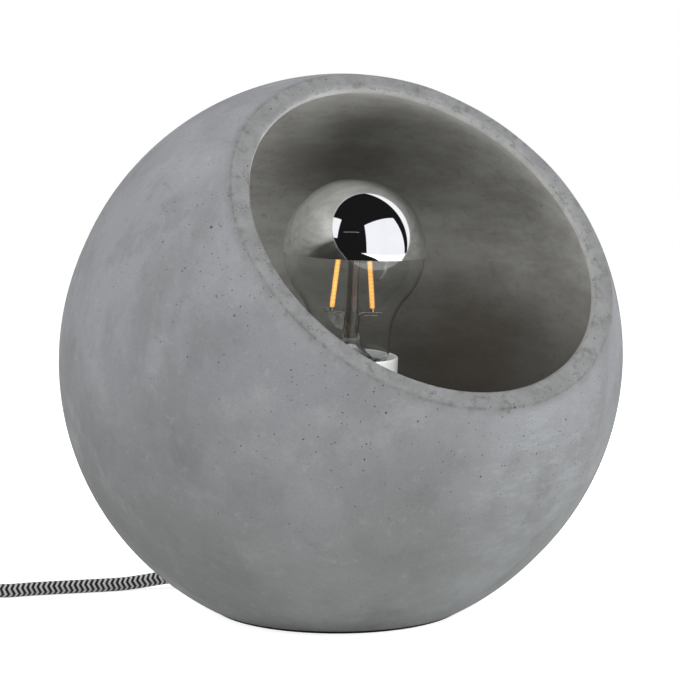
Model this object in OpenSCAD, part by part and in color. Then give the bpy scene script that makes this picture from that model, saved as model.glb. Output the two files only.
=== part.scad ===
// Table lamp: a hollow cast concrete globe with a tilted mouth, a white lampholder
// inside, a mirror-crown filament bulb and a textile cord with switch and plug.
// Millimetres. The table is z = 0, the mouth faces -Y, the globe's axis is x = y = 0.

/* [Globe] */
// Radius of the two half globes
globe_r = 118; // [110:1:126]
// Straight belt between the two halves, along the mouth's axis
globe_belt = 6; // [2:0.5:10]
// Thickness of the cast wall
wall_t = 7.5; // [6:0.5:9]
// Height of the mouth's axis above level, in degrees
mouth_tilt = 38; // [32:1:44]
// How much of the globe is cut away for its mouth
mouth_cut = 32; // [28:1:38]
// Rounding of the mouth's outer edge
lip_outer_round = 2; // [1:0.5:2.5]
// Rounding of the mouth's inner edge
lip_inner_round = 2.5; // [1.5:0.5:3]
// How much of the globe is cut away for its flat base
base_cut = 12.5; // [10:0.5:14]

/* [Base] */
// Thickness of the felt ring that the lamp stands on
pad_t = 1.5; // [1:0.5:3]
// Width of the felt ring
pad_w = 6.5; // [4:0.5:7]
// Height of the hollow's flat floor above the base
floor_h = 25; // [24:0.5:30]
// Radius of the wiring chamber in the underside
chamber_r = 34; // [32:0.5:35]
// Height of the wiring chamber
chamber_h = 15; // [14:0.5:16]
// Distance from the base's edge to the cover plate
cover_edge = 12; // [11.5:0.5:14]
// Thickness of the cover plate
cover_t = 1.2; // [1:0.1:1.4]
// How far the cover plate lies inside the base
cover_inset = 0.3; // [0.2:0.1:0.5]
// Gap round the cover plate
cover_gap = 0.5; // [0.3:0.1:0.8]
// Radius of the brass inserts that take the cover screws
insert_r = 2.5; // [2.2:0.1:2.8]
// Depth of the brass inserts
insert_h = 8; // [6:0.5:9]
// Radius of the small screws in base, switch and terminals
screw_r = 1.5; // [1.2:0.1:1.6]
// Radius of the small screws' heads
screw_head_r = 2.8; // [2.4:0.1:3]
// Height of the small screws' heads
screw_head_h = 1.3; // [1:0.1:1.5]

/* [Stem] */
// Lean of the stem towards the mouth, in degrees
stem_lean = 4.7; // [0:0.1:6]
// Outer radius of the threaded tube
tube_r = 5; // [4.5:0.1:5.5]
// Wall of the threaded tube
tube_wall = 1.5; // [1:0.1:1.8]
// Clearance of the holes round the threaded tube
tube_gap = 0.2; // [0.1:0.05:0.3]
// Radius of the cast seat under the stem
seat_r = 17; // [15:0.5:20]
// Height of the cast seat above the hollow's floor
seat_h = 3; // [2:0.5:4]
// Radius of the two washers
washer_r = 10; // [9:0.5:11]
// Thickness of the two washers
washer_t = 1.2; // [1:0.1:1.5]
// Radius across the corners of the two lock nuts
nut_r = 8; // [7.5:0.1:9]
// Thickness of the two lock nuts
nut_t = 4.5; // [3:0.5:5]
// Outer radius of the spacer tube round the stem
spacer_r = 8; // [7:0.5:9]
// Length of the spacer tube
spacer_h = 10.3; // [8:0.1:14]

/* [Lampholder] */
// Outer radius of the white skirt
holder_r = 20.3; // [19.5:0.1:22]
// Wall of the white skirt
holder_wall = 1.3; // [1.1:0.1:1.5]
// Height of the holder's cap from its neck to the skirt
cap_h = 18; // [16:0.5:20]
// Height of the narrow neck of the holder's cap
cap_neck_h = 6; // [5:0.5:7]
// Height of the spigot that the skirt screws on to
spigot_h = 5; // [4:0.5:6]
// Height of the skirt above the cap
skirt_h = 45.6; // [43:0.1:47]
// Thickness of the ceramic core's disc
core_t = 5; // [4:0.5:6]
// Height of the ceramic collar round the brass shell
collar_h = 12; // [8:0.5:14]
// Inner radius of the brass screw shell
shell_r = 13.7; // [13.6:0.1:14]
// Wall of the brass screw shell
shell_wall = 0.5; // [0.4:0.1:0.6]
// Height of the brass screw shell
shell_h = 28.5; // [26:0.5:29]
// Side of the square brass terminals
terminal_w = 5.5; // [5:0.5:6]
// Height of the brass terminals
terminal_h = 8; // [7:0.5:8.5]
// Distance of the terminals from the holder's axis
terminal_x = 8; // [7.5:0.1:8.5]

/* [Bulb] */
// Radius of the glass ball
bulb_r = 30; // [29:0.5:31]
// Whole length of the bulb
bulb_len = 105; // [103:0.5:107]
// Radius of the straight glass neck
neck_r = 16.6; // [16:0.1:17]
// Radius of the hollow curve between ball and neck
neck_curve_r = 27; // [24:0.5:30]
// Thickness of the glass
glass_t = 0.8; // [0.6:0.1:1]
// How far the mirror reaches below the ball's widest line
mirror_drop = 1.4; // [0:0.1:3]
// Thickness of the mirror coat
mirror_t = 0.2; // [0.15:0.05:0.3]
// Length of the brass cap with its contact
bulb_cap_h = 26.5; // [26:0.5:27]
// Radius of the cap over the crests of its thread
bulb_cap_r = 13.1; // [13:0.05:13.2]
// Depth of the cap's thread
thread_depth = 0.9; // [0.7:0.1:1]
// Pitch of the cap's thread
thread_pitch = 3.63; // [3.5:0.01:3.7]
// Number of crests on the cap
thread_crests = 5; // [4:1:5]
// Length of one filament
filament_len = 37; // [34:0.5:39]
// Radius of one filament
filament_r = 1.1; // [0.8:0.1:1.3]
// Distance of the filaments' feet below the ball's centre
filament_drop = 25.5; // [24:0.5:27]
// Distance of a filament's foot from the bulb's axis
filament_foot = 8.7; // [7:0.1:9.5]
// Lean of the filaments towards the axis, in degrees
filament_lean = 5.5; // [3:0.5:7]
// Turn of the filaments about the bulb's axis, in degrees
filament_turn = -30; // [-90:5:90]
// Radius of the glass stem tube
stem_tube_r = 2.4; // [2:0.1:2.8]
// Height of the glass stem tube's tip above the ball's centre
stem_tip_rise = 14; // [12:0.5:16]

/* [Cord] */
// Diameter of the textile cord
cord_d = 6; // [5.6:0.1:6.2]
// Direction in which the cord leaves, in degrees round from the back
cord_turn = 40; // [36:1:44]
// Radius of the channel through the concrete base
channel_r = 5.4; // [5.2:0.1:5.6]
// How far the cord bush reaches beyond the base
bush_reach = 13.6; // [10:0.1:16]
// Length of the cord bush
bush_len = 24; // [22:0.5:26]
// Wall of the cord bush at its thin end
bush_thin_wall = 0.9; // [0.7:0.1:1.1]
// Radius of one inner lead
lead_r = 1.1; // [0.9:0.1:1.2]
// Radius of the coil's innermost turn
coil_inner_r = 24; // [23.8:0.1:24.2]
// Distance from one turn of the coil to the next
coil_pitch = 6.6; // [6.5:0.05:6.7]
// Turns in each of the coil's two layers
coil_turns = 3.5; // [3.5:1:3.5]
// Thickness of the strap that ties the coil
tie_t = 1; // [0.8:0.1:1.1]
// Width of the strap that ties the coil
tie_w = 10; // [8:0.5:12]

/* [Switch] */
// Length of the switch housing without its collars
switch_len = 60; // [56:1:62]
// Width of the switch housing
switch_w = 27; // [25:0.5:28]
// Height of the switch housing
switch_h = 16; // [15.5:0.1:16.5]
// Height of the seam between the housing's two halves
switch_split = 8; // [7.8:0.1:8.2]
// Wall of the switch housing
switch_wall = 2; // [1.6:0.1:2.2]
// Rounding of the housing's edges
switch_round = 4; // [3:0.5:5]
// Length of the collars that hold the cord
collar_len = 5; // [4:0.5:6]
// Radius of the rocker about its pin
rocker_r = 10.5; // [10:0.1:10.8]
// Width of the rocker
rocker_w = 11; // [10:0.5:12]
// Height of the rocker's pin above the table
rocker_z = 10; // [9.8:0.1:10.2]
// Half of the rocker's whole travel, in degrees
rocker_tilt = 7; // [5:0.5:8]
// Gap round the rocker
rocker_gap = 0.4; // [0.3:0.05:0.5]
// Radius of the rocker's pin
rocker_pin_r = 1; // [0.8:0.1:1.2]
// Running clearance of the rocker on its pin
rocker_pin_gap = 0.05; // [0.03:0.01:0.08]

/* [Plug] */
// Width of the plug's front
plug_w = 35.3; // [34:0.1:36]
// Thickness of the flat plug
plug_t = 13.7; // [13:0.1:14]
// Length of the plug's body
plug_len = 34; // [32:0.5:36]
// Width of the plug's body where the sleeve begins
plug_rear_w = 14; // [12:0.5:16]
// Length of the plug's ribbed sleeve
sleeve_len = 20; // [20:0.5:24]
// Radius of one plug pin
pin_r = 2; // [1.9:0.05:2.1]
// Length of the pins beyond the body
pin_len = 19; // [18:0.5:20]
// Length of the pins' insulation
pin_sleeve_len = 10; // [9:0.5:11]
// Distance between the pins' axes
pin_gap = 18.6; // [18:0.1:19]

/* [Hidden] */
$fn = 72;
// One overrun for every cut
cut = 1;
// Small gap between soft pieces, or between a piece and what it clears
ease = 0.3;

// Globe
base_drop = globe_r - base_cut;
mouth_dist = globe_r - mouth_cut;
centre_z = pad_t + base_drop;
hollow_r = globe_r - wall_t;
belt_half = globe_belt / 2;
belt_back = belt_half * cos(mouth_tilt);
belt_rise = belt_half * sin(mouth_tilt);
lip_outer_y = mouth_dist - lip_outer_round;
lip_outer_x = sqrt(pow(globe_r - lip_outer_round, 2) - pow(lip_outer_y, 2));
lip_inner_y = mouth_dist - lip_inner_round;
lip_inner_x = sqrt(pow(hollow_r + lip_inner_round, 2) - pow(lip_inner_y, 2));
lip_outer = [lip_outer_x, lip_outer_y];
lip_inner = [lip_inner_x, lip_inner_y];
lip_outer_a = atan2(lip_outer_y, lip_outer_x);
lip_inner_a = atan2(lip_inner_y, lip_inner_x);

// Base, from the table up
base_z = pad_t;
base_r = sqrt(pow(globe_r, 2) - pow(base_drop - belt_rise, 2));
pad_edge = 2.5;
pad_outer_r = base_r - pad_edge;
cover_r = base_r - cover_edge;
cover_z = base_z + cover_inset;
cover_top = cover_z + cover_t;
recess_r = cover_r + cover_gap;
insert_at = (chamber_r + recess_r) / 2;
insert_turns = [60, 180, 300];
cord_r = cord_d / 2;
cord_z = cover_top + cord_r;
screw_gap = 0.2;

// Stem, measured along its own leaning axis from the base
seat_s = floor_h + seat_h;
spot_s = chamber_h + washer_t;
lower_washer_s = spot_s - washer_t;
lower_nut_s = lower_washer_s - nut_t;
stem_low_s = lower_nut_s - washer_t;
upper_nut_s = seat_s + washer_t;
spacer_s = upper_nut_s + nut_t;
cap_s = spacer_s + spacer_h;
stem_top_s = cap_s + cap_neck_h + nut_t;

// Lampholder
cap_top_s = cap_s + cap_h;
core_s = cap_top_s + spigot_h;
core_top_s = core_s + core_t;
skirt_top_s = cap_top_s + skirt_h;
skirt_in_r = holder_r - holder_wall;
fit_gap = 0.2;
spigot_r = skirt_in_r - fit_gap;
cap_wall = 1.5;
shell_s = core_top_s;
plug_core_r = 13;
terminal_s = core_s - terminal_h;

// Bulb, its contact just above the holder's tongue
contact_s = core_top_s + core_t;
ball_s = contact_s + bulb_len - bulb_r;
neck_curve_x = neck_r + neck_curve_r;
neck_curve_y = sqrt(pow(bulb_r + neck_curve_r, 2) - pow(neck_curve_x, 2));
neck_curve_a = atan2(neck_curve_y, neck_curve_x);
glass_foot_s = contact_s + bulb_cap_h + glass_t;
shoulder_r = 5;
contact_r = 3.2;
contact_h = 1.6;
insulator_h = 4.4;
cap_low_r = 10.4;
cap_sheet = 0.45;
cap_shell_s = contact_s + contact_h + insulator_h;
cap_shell_top_s = contact_s + bulb_cap_h + glass_t;
thread_r = bulb_cap_r - thread_depth;
crest_r = 1.3;
thread_first = 2.6;
filament_s = ball_s - filament_drop;
stem_press_s = filament_s - stem_tube_r;
stem_tip_s = ball_s + stem_tip_rise;
flare_r = 9.6;
wire_r = 0.35;
// How far a leaning filament's end dips at its edge
filament_dip = filament_r * sin(filament_lean);
board_t = 1.4;
board_w = 15;

// Cord bush, clamp and route
bush_end = base_r + bush_reach;
bush_start = bush_end - bush_len;
bush_flange_r = channel_r - fit_gap;
bush_body_r = 4.7;
bush_flange_t = 3;
clamp_at = 22;
clamp_w = 24;
clamp_l = 8;
clamp_h = 8.5;
clamp_screw_x = 8;
cord_start = 15;
tube_sides = 8;
// The free cord from the bush to the switch
lead_route = [
    [-45.0, 53.6, 6.0], [-46.6, 55.5, 6.0], [-49.2, 58.3, 5.9], [-52.3, 60.7, 5.6],
    [-55.7, 62.6, 5.1], [-59.3, 64.1, 4.6], [-66.0, 66.3, 3.7], [-72.5, 68.3, 3.1],
    [-80.0, 70.4, 3.0], [-88.0, 72.7, 3.0], [-96.0, 75.0, 3.0], [-104.0, 77.3, 3.0],
    [-112.0, 79.4, 3.0], [-121.0, 81.0, 3.0], [-125.0, 81.9, 3.3], [-129.0, 83.0, 4.1],
    [-133.0, 84.1, 5.5], [-137.0, 85.0, 6.9], [-141.0, 85.7, 7.7], [-145.0, 86.0, 8.0],
    [-150.0, 86.0, 8.0]
];
// From the switch to the coil
link_route = [
    [-220.0, 86.0, 8.0], [-226.0, 86.0, 8.0], [-232.5, 85.1, 7.8], [-238.5, 82.6, 7.5],
    [-243.8, 78.6, 7.0], [-247.7, 73.4, 6.5], [-250.2, 67.4, 6.0], [-251.1, 60.9, 5.5],
    [-251.1, 52.0, 4.9], [-251.1, 43.0, 4.4], [-251.1, 34.0, 4.2], [-251.1, 22.0, 4.2]
];
// From the coil to the plug
end_route = [
    [-251.1, 10.0, 10.8], [-251.1, 4.0, 10.8], [-251.1, -2.0, 10.4], [-251.1, -8.0, 9.4],
    [-251.1, -14.0, 8.2], [-251.1, -20.0, 7.2], [-251.1, -26.0, 6.85], [-251.1, -32.0, 6.85]
];
coil_at = [-204, 16];
coil_low_z = 4.2;
coil_steps = 24;
coil_sides = 6;

// Switch
switch_at = [-185, 86];
switch_pill = (switch_len - switch_w) / 2;
collar_r = 5.2;
cord_hold = 10;
rocker_low = 2.5;
rocker_crown = 7.2;
rocker_low_gap = 0.8;
boss_w = 2.4;
boss_l = 8;
switch_screw_x = 17;
switch_screw_y = 8.5;
switch_lug_r = 3.4;
contact_w = 5;
contact_x = 19;

// Plug
plug_at = [-251.1, -32];
plug_z = plug_t / 2;
plug_round = 3;
// The insulation starts just clear of the body; the pins' feet inside it are thicker
pin_relief = 0.3;
pin_core_r = pin_r - 0.4;
pin_foot_r = pin_r + 0.6;
plug_shoulder = 14;
sleeve_thick_r = 5.6;
sleeve_thin_r = 4;
sleeve_grooves = 4;

// A point on the stem's axis, at a height along it
module on_stem(s = 0) {
    translate([0, 0, base_z]) rotate([stem_lean, 0, 0]) translate([0, 0, s]) children();
}

// The mouth's axis, from the globe's centre
module on_mouth() {
    translate([0, 0, centre_z]) rotate([90 - mouth_tilt, 0, 0]) children();
}

// The direction in which the cord leaves, at a distance from the globe's axis
module on_cord(at = 0, z = 0) {
    rotate([0, 0, cord_turn]) translate([0, at, z]) children();
}

// A rod that lies along the cord's direction
module cord_rod(from, to, r, end_r) {
    on_cord(from, cord_z) rotate([-90, 0, 0]) cylinder(h = to - from, r1 = r, r2 = end_r);
}

// A straight pipe
module pipe(h, r, bore) {
    difference() {
        cylinder(h = h, r = r);
        translate([0, 0, -cut]) cylinder(h = h + 2 * cut, r = bore);
    }
}

// Sweeps a round section along points; ref is a direction that the path never takes
function unit(v) = v / norm(v);
function heading(p, i) = unit(p[min(i + 1, len(p) - 1)] - p[max(i - 1, 0)]);
function ring(c, t, ref, r, n) =
    let (a = unit(cross(t, ref)), b = cross(t, a))
    [for (k = [0:n - 1]) c + r * (cos(360 * k / n) * a + sin(360 * k / n) * b)];
function side_faces(m, n) = [
    for (i = [0:m - 2], k = [0:n - 1], half = [0, 1])
        let (a = i * n + k, b = i * n + (k + 1) % n)
        half == 0 ? [a, a + n, b + n] : [a, b + n, b]
];
function cap_faces(m, n) = concat(
    [for (k = [1:n - 2]) [0, k, k + 1]],
    [for (k = [1:n - 2]) [(m - 1) * n, (m - 1) * n + k + 1, (m - 1) * n + k]]
);
module sweep(p, r, n, ref = [0, 0, 1]) {
    m = len(p);
    polyhedron(
        points = [for (i = [0:m - 1]) each ring(p[i], heading(p, i), ref, r, n)],
        faces = concat(cap_faces(m, n), side_faces(m, n))
    );
}

// Half of the globe's upright section: two round ends and the straight belt
module globe_section(r) {
    intersection() {
        union() {
            translate([0, belt_half]) circle(r);
            translate([0, -belt_half]) circle(r);
            translate([-r, -belt_half]) square([2 * r, globe_belt]);
        }
        translate([0, -r - globe_belt]) square([r + cut, 2 * (r + globe_belt)]);
    }
}

// Points along an arc; skip leaves out the first ones
function arc(c, r, from, to, steps, skip = 0) =
    [for (i = [skip:steps]) let (a = from + (to - from) * i / steps) c + r * [cos(a), sin(a)]];

// Half section of the cast wall: outside to the mouth, round the lip, and back inside
function wall_line() =
    let (front = [0, belt_half], back = [0, -belt_half])
    concat(
        arc(back, globe_r, -90, 0, 30),
        arc(front, globe_r, 0, lip_outer_a, 16),
        arc(front + lip_outer, lip_outer_round, lip_outer_a, 90, 5, 1),
        arc(front + lip_inner, lip_inner_round, 90, 180 + lip_inner_a, 10),
        arc(front, hollow_r, lip_inner_a, 0, 16, 1),
        arc(back, hollow_r, 0, -90, 30)
    );

// Cast concrete globe with its floor, stem seat, wiring chamber and cord channel
module concrete_globe() {
    color([0.56, 0.57, 0.58]) difference() {
        intersection() {
            union() {
                on_mouth() rotate_extrude() polygon(wall_line());
                intersection() {
                    on_mouth() rotate_extrude() globe_section(globe_r - wall_t / 2);
                    translate([-globe_r, -globe_r, 0]) cube([2 * globe_r, 2 * globe_r, base_z + floor_h]);
                }
                on_stem() cylinder(h = seat_s, r = seat_r);
            }
            translate([-2 * globe_r, -2 * globe_r, base_z]) cube([4 * globe_r, 4 * globe_r, 4 * globe_r]);
        }
        translate([0, 0, base_z - cut]) cylinder(h = chamber_h + cut, r = chamber_r);
        translate([0, 0, base_z - cut]) cylinder(h = cover_inset + cover_t + cut, r = recess_r);
        on_stem(-cut) cylinder(h = seat_s + 2 * cut, r = tube_r + tube_gap);
        on_stem(lower_nut_s) cylinder(h = nut_t + washer_t, r = washer_r + cut);
        cord_rod(chamber_r - cut, globe_r, channel_r, channel_r);
        on_cord(chamber_r - cut, base_z - cut) translate([-channel_r, 0, 0])
            cube([2 * channel_r, globe_r, cord_z - base_z + cut]);
        for (a = insert_turns) on_cord() rotate([0, 0, a]) translate([0, insert_at, base_z])
            cylinder(h = cover_inset + cover_t + insert_h, r = insert_r);
    }
}

// Felt ring under the base, open where the cord passes
module foot_pad() {
    color([0.12, 0.12, 0.13]) translate([0, belt_back, 0]) difference() {
        pipe(pad_t, pad_outer_r, pad_outer_r - pad_w);
        translate([0, -belt_back, 0]) on_cord(0, -cut) translate([-channel_r, 0, 0])
            cube([2 * channel_r, globe_r, pad_t + 2 * cut]);
    }
}

// Steel plate that closes the wiring chamber
module base_cover() {
    color([0.25, 0.25, 0.27]) difference() {
        translate([0, 0, cover_z]) cylinder(h = cover_t, r = cover_r);
        for (a = insert_turns) on_cord() rotate([0, 0, a]) translate([0, insert_at, cover_z - cut])
            cylinder(h = cover_t + 2 * cut, r = screw_r + screw_gap);
        for (x = [-clamp_screw_x, clamp_screw_x]) on_cord(clamp_at, cover_z - cut) translate([x, 0, 0])
            cylinder(h = cover_t + 2 * cut, r = screw_r + screw_gap);
    }
}

// Three brass inserts cast into the base
module cover_inserts() {
    color("goldenrod") for (a = insert_turns) on_cord() rotate([0, 0, a])
        translate([0, insert_at, cover_top]) pipe(insert_h, insert_r, screw_r);
}

// A pan-head screw, its head below and its shank up
module screw(shank) {
    translate([0, 0, -screw_head_h]) cylinder(h = screw_head_h, r = screw_head_r);
    cylinder(h = shank, r = screw_r);
}

// Three screws that hold the cover plate
module cover_screws() {
    color("silver") for (a = insert_turns) on_cord() rotate([0, 0, a])
        translate([0, insert_at, cover_z]) screw(insert_h);
}

// Threaded tube that carries the lampholder
module stem_tube() {
    color("silver") on_stem(stem_low_s) pipe(stem_top_s - stem_low_s, tube_r, tube_r - tube_wall);
}

module washer() {
    pipe(washer_t, washer_r, tube_r + tube_gap);
}

module nut() {
    difference() {
        cylinder(h = nut_t, r = nut_r, $fn = 6);
        translate([0, 0, -cut]) cylinder(h = nut_t + 2 * cut, r = tube_r);
    }
}

module lower_washer() {
    color("silver") on_stem(lower_washer_s) washer();
}

module lower_nut() {
    color("silver") on_stem(lower_nut_s) nut();
}

module upper_washer() {
    color("silver") on_stem(seat_s) washer();
}

module upper_nut() {
    color("silver") on_stem(upper_nut_s) nut();
}

// Plain tube that hides the thread between nut and holder
module spacer_tube() {
    color([0.8, 0.8, 0.8]) on_stem(spacer_s) pipe(spacer_h, spacer_r, tube_r + tube_gap);
}

// White cap at the bottom of the lampholder
module holder_cap() {
    neck_r1 = spacer_r + cap_wall;
    dome_h = cap_h - cap_neck_h - spigot_h;
    color([0.93, 0.93, 0.91]) on_stem(cap_s) difference() {
        union() {
            cylinder(h = cap_neck_h, r = neck_r1);
            translate([0, 0, cap_neck_h]) cylinder(h = dome_h, r1 = neck_r1, r2 = holder_r);
            translate([0, 0, cap_neck_h + dome_h]) cylinder(h = spigot_h, r = holder_r);
            translate([0, 0, cap_h]) cylinder(h = spigot_h, r = spigot_r);
        }
        translate([0, 0, -cut]) cylinder(h = cap_h, r = tube_r);
        translate([0, 0, cap_neck_h + cap_wall])
            cylinder(h = dome_h, r1 = neck_r1 - cap_wall, r2 = spigot_r - cap_wall);
        translate([0, 0, cap_neck_h + cap_wall + dome_h]) cylinder(h = cap_h, r = spigot_r - cap_wall);
    }
}

// White skirt with its thin rounded rim and the ledge that holds the core down
module holder_skirt() {
    rim = holder_wall / 2;
    color([0.95, 0.95, 0.94]) on_stem(cap_top_s) rotate_extrude() {
        translate([skirt_in_r, 0]) square([holder_wall, skirt_h - rim]);
        translate([skirt_in_r + rim, skirt_h - rim]) circle(rim);
        translate([skirt_in_r - cap_wall, spigot_h + core_t + fit_gap]) square([cap_wall + rim, cap_wall]);
    }
}

// Ceramic core: a disc on the cap, a block below for the terminals, a collar above
module holder_core() {
    color([0.9, 0.88, 0.84]) on_stem(core_s) difference() {
        union() {
            cylinder(h = core_t, r = spigot_r);
            translate([0, 0, -terminal_h]) cylinder(h = terminal_h, r = plug_core_r);
            translate([0, 0, core_t]) pipe(collar_h, skirt_in_r - cap_wall - fit_gap, shell_r + shell_wall);
        }
        for (x = [-terminal_x, terminal_x]) translate([x, 0, 0]) {
            translate([-terminal_w / 2, -terminal_w / 2, -terminal_h - cut])
                cube([terminal_w, terminal_w, terminal_h + cut]);
            translate([0, 0, -terminal_h / 2]) rotate([0, x > 0 ? 90 : -90, 0])
                cylinder(h = plug_core_r, r = screw_head_r);
        }
    }
}

// Brass screw shell, smooth inside to the crest line of its thread
module screw_shell() {
    color("goldenrod") on_stem(shell_s) difference() {
        cylinder(h = shell_h, r = shell_r + shell_wall);
        translate([0, 0, shell_wall]) cylinder(h = shell_h, r = shell_r);
        translate([0, 0, -cut]) cylinder(h = shell_wall + 2 * cut, r = plug_core_r / 2);
    }
}

// Sprung brass tongue in the middle of the holder, bent up to the bulb's contact
module centre_contact() {
    tongue_w = 5;
    strip = 0.7;
    rise = contact_s - core_top_s - ease;
    color("goldenrod") on_stem(core_top_s) rotate([90, 0, 0]) translate([0, 0, -tongue_w / 2])
        linear_extrude(tongue_w) polygon([
            [-tongue_w, 0], [-strip, 0], [strip, rise - strip], [tongue_w, rise - strip],
            [tongue_w, rise], [0, rise], [-2 * strip, strip], [-tongue_w, strip]
        ]);
}

// Two brass terminals in the ceramic core
module terminals() {
    color("goldenrod") for (x = [-terminal_x, terminal_x]) on_stem(terminal_s) translate([x, 0, 0])
        difference() {
            translate([-terminal_w / 2, -terminal_w / 2, 0]) cube([terminal_w, terminal_w, terminal_h]);
            translate([0, 0, terminal_h / 2]) rotate([0, x > 0 ? 90 : -90, 0])
                cylinder(h = terminal_w, r = screw_r);
        }
}

// Two small screws that grip the leads
module terminal_screws() {
    color("silver") for (x = [-terminal_x, terminal_x]) on_stem(terminal_s + terminal_h / 2)
        translate([x, 0, 0]) rotate([0, x > 0 ? 90 : -90, 0]) {
            cylinder(h = terminal_w / 2, r = screw_r);
            translate([0, 0, terminal_w / 2]) cylinder(h = screw_head_h, r = screw_head_r - fit_gap);
        }
}

// A point on the leaning axis, and a point in the cord's direction
function stem_point(x, s) = [x, -s * sin(stem_lean), base_z + s * cos(stem_lean)];
function cord_point(x, at, z) =
    [x * cos(cord_turn) - at * sin(cord_turn), x * sin(cord_turn) + at * cos(cord_turn), z];

// One lead from the cord's end, up the tube, to its terminal
module lead(side) {
    gap = lead_r + ease;
    color(side > 0 ? "saddlebrown" : "royalblue") sweep([
        cord_point(side * gap, cord_start, cord_z),
        cord_point(side * gap, cord_start - 2 * cord_r, cord_z),
        stem_point(side * gap, stem_low_s - 4 * lead_r),
        stem_point(side * gap, stem_low_s - lead_r),
        stem_point(side * gap, stem_low_s + cord_r),
        stem_point(side * gap, stem_top_s),
        stem_point(side * (gap + lead_r), stem_top_s + lead_r),
        stem_point(side * (terminal_x - lead_r), terminal_s - 2 * lead_r),
        stem_point(side * terminal_x, terminal_s - lead_r),
        stem_point(side * terminal_x, terminal_s)
    ], lead_r, tube_sides, [0, 1, 0.4]);
}

module lead_live() {
    lead(1);
}

module lead_neutral() {
    lead(-1);
}

// Half section of the bulb, from its top to its foot; thin is how far inside the glass it lies
function bulb_line(thin) = concat(
    arc([0, ball_s], bulb_r - thin, 90, -neck_curve_a, 26),
    arc([neck_curve_x, ball_s - neck_curve_y], neck_curve_r + thin, 180 - neck_curve_a, 180, 8, 1),
    arc([neck_r - shoulder_r, glass_foot_s + shoulder_r], shoulder_r - thin, 0, -90, 5),
    [[0, glass_foot_s + thin]]
);

// Blown glass envelope, open at its foot
module bulb_glass() {
    color([0.75, 0.8, 0.8, 0.35]) on_stem() rotate_extrude() difference() {
        polygon(bulb_line(0));
        polygon(bulb_line(glass_t));
        translate([-cut, glass_foot_s - cut]) square([flare_r + cut, glass_t + 2 * cut]);
    }
}

// Silver mirror over the upper half of the ball
module mirror_crown() {
    color([0.85, 0.85, 0.87]) on_stem() intersection() {
        translate([0, 0, ball_s]) difference() {
            sphere(bulb_r + mirror_t);
            sphere(bulb_r);
        }
        translate([0, 0, ball_s - mirror_drop]) cylinder(h = 2 * bulb_r, r = 2 * bulb_r);
    }
}

// Glass flare, press and exhaust tube inside the bulb
module glass_stem() {
    press_h = stem_press_s - glass_foot_s;
    color([0.7, 0.75, 0.75, 0.5]) on_stem(glass_foot_s) {
        cylinder(h = press_h / 2, r1 = flare_r - fit_gap, r2 = stem_tube_r + glass_t);
        cylinder(h = press_h, r = stem_tube_r + glass_t);
        cylinder(h = stem_tip_s - glass_foot_s, r = stem_tube_r);
    }
}

// Places a part at a filament's foot, leaning towards the axis
module at_filament(side) {
    on_stem(filament_s) rotate([0, 0, filament_turn]) translate([side * filament_foot, 0, 0])
        rotate([0, -side * filament_lean, 0]) children();
}

// Two amber filaments
module filaments() {
    color("orange") for (side = [-1, 1]) at_filament(side) cylinder(h = filament_len, r = filament_r);
}

// Wires that hold the filaments to the glass stem, below and above
module filament_wires() {
    foot_run = filament_foot - stem_tube_r;
    top_s = filament_s + filament_len * cos(filament_lean);
    top_x = filament_foot - filament_len * sin(filament_lean);
    color("silver") for (side = [-1, 1]) {
        on_stem(filament_s) rotate([0, 0, filament_turn]) translate([side * filament_foot, 0, -wire_r - filament_dip])
            rotate([0, -side * 90, 0]) cylinder(h = foot_run, r = wire_r);
        on_stem(top_s) rotate([0, 0, filament_turn]) translate([side * top_x, 0, wire_r])
            rotate([0, -side * 90, 0]) cylinder(h = top_x - stem_tube_r, r = wire_r);
    }
}

// Nickelled brass cap with its thread, hollow inside
module bulb_cap() {
    smooth_h = cap_shell_top_s - cap_shell_s;
    color([0.8, 0.78, 0.72]) on_stem(cap_shell_s) rotate_extrude() difference() {
        union() {
            square([thread_r, smooth_h]);
            for (i = [0:thread_crests - 1])
                translate([bulb_cap_r - crest_r, thread_first + i * thread_pitch]) circle(crest_r);
            translate([0, smooth_h - thread_pitch]) square([bulb_cap_r, thread_pitch]);
        }
        translate([0, -cut]) square([thread_r - cap_sheet, smooth_h + 2 * cut]);
    }
}

// Black glass insulator at the bottom of the cap
module cap_insulator() {
    color([0.08, 0.08, 0.09]) on_stem(contact_s + contact_h) {
        cylinder(h = insulator_h, r1 = contact_r + contact_h, r2 = cap_low_r);
    }
}

// Solder contact
module cap_contact() {
    color([0.75, 0.75, 0.76]) on_stem(contact_s) cylinder(h = contact_h, r1 = contact_r - cut, r2 = contact_r);
}

// Driver board inside the cap
module driver_board() {
    color("darkgreen") on_stem(cap_shell_s) translate([-board_w / 2, -board_t / 2, 0])
        cube([board_w, board_t, glass_foot_s - cap_shell_s - ease]);
}

// Rubber bush in the base's channel: a flange inside, a tail that tapers outside
module cord_bush() {
    color([0.1, 0.1, 0.1]) difference() {
        union() {
            cord_rod(bush_start, bush_start + bush_flange_t, bush_flange_r, bush_flange_r);
            cord_rod(bush_start, bush_end, bush_body_r, cord_r + bush_thin_wall);
        }
        cord_rod(bush_start - cut, bush_end + cut, cord_r, cord_r);
    }
}

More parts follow.
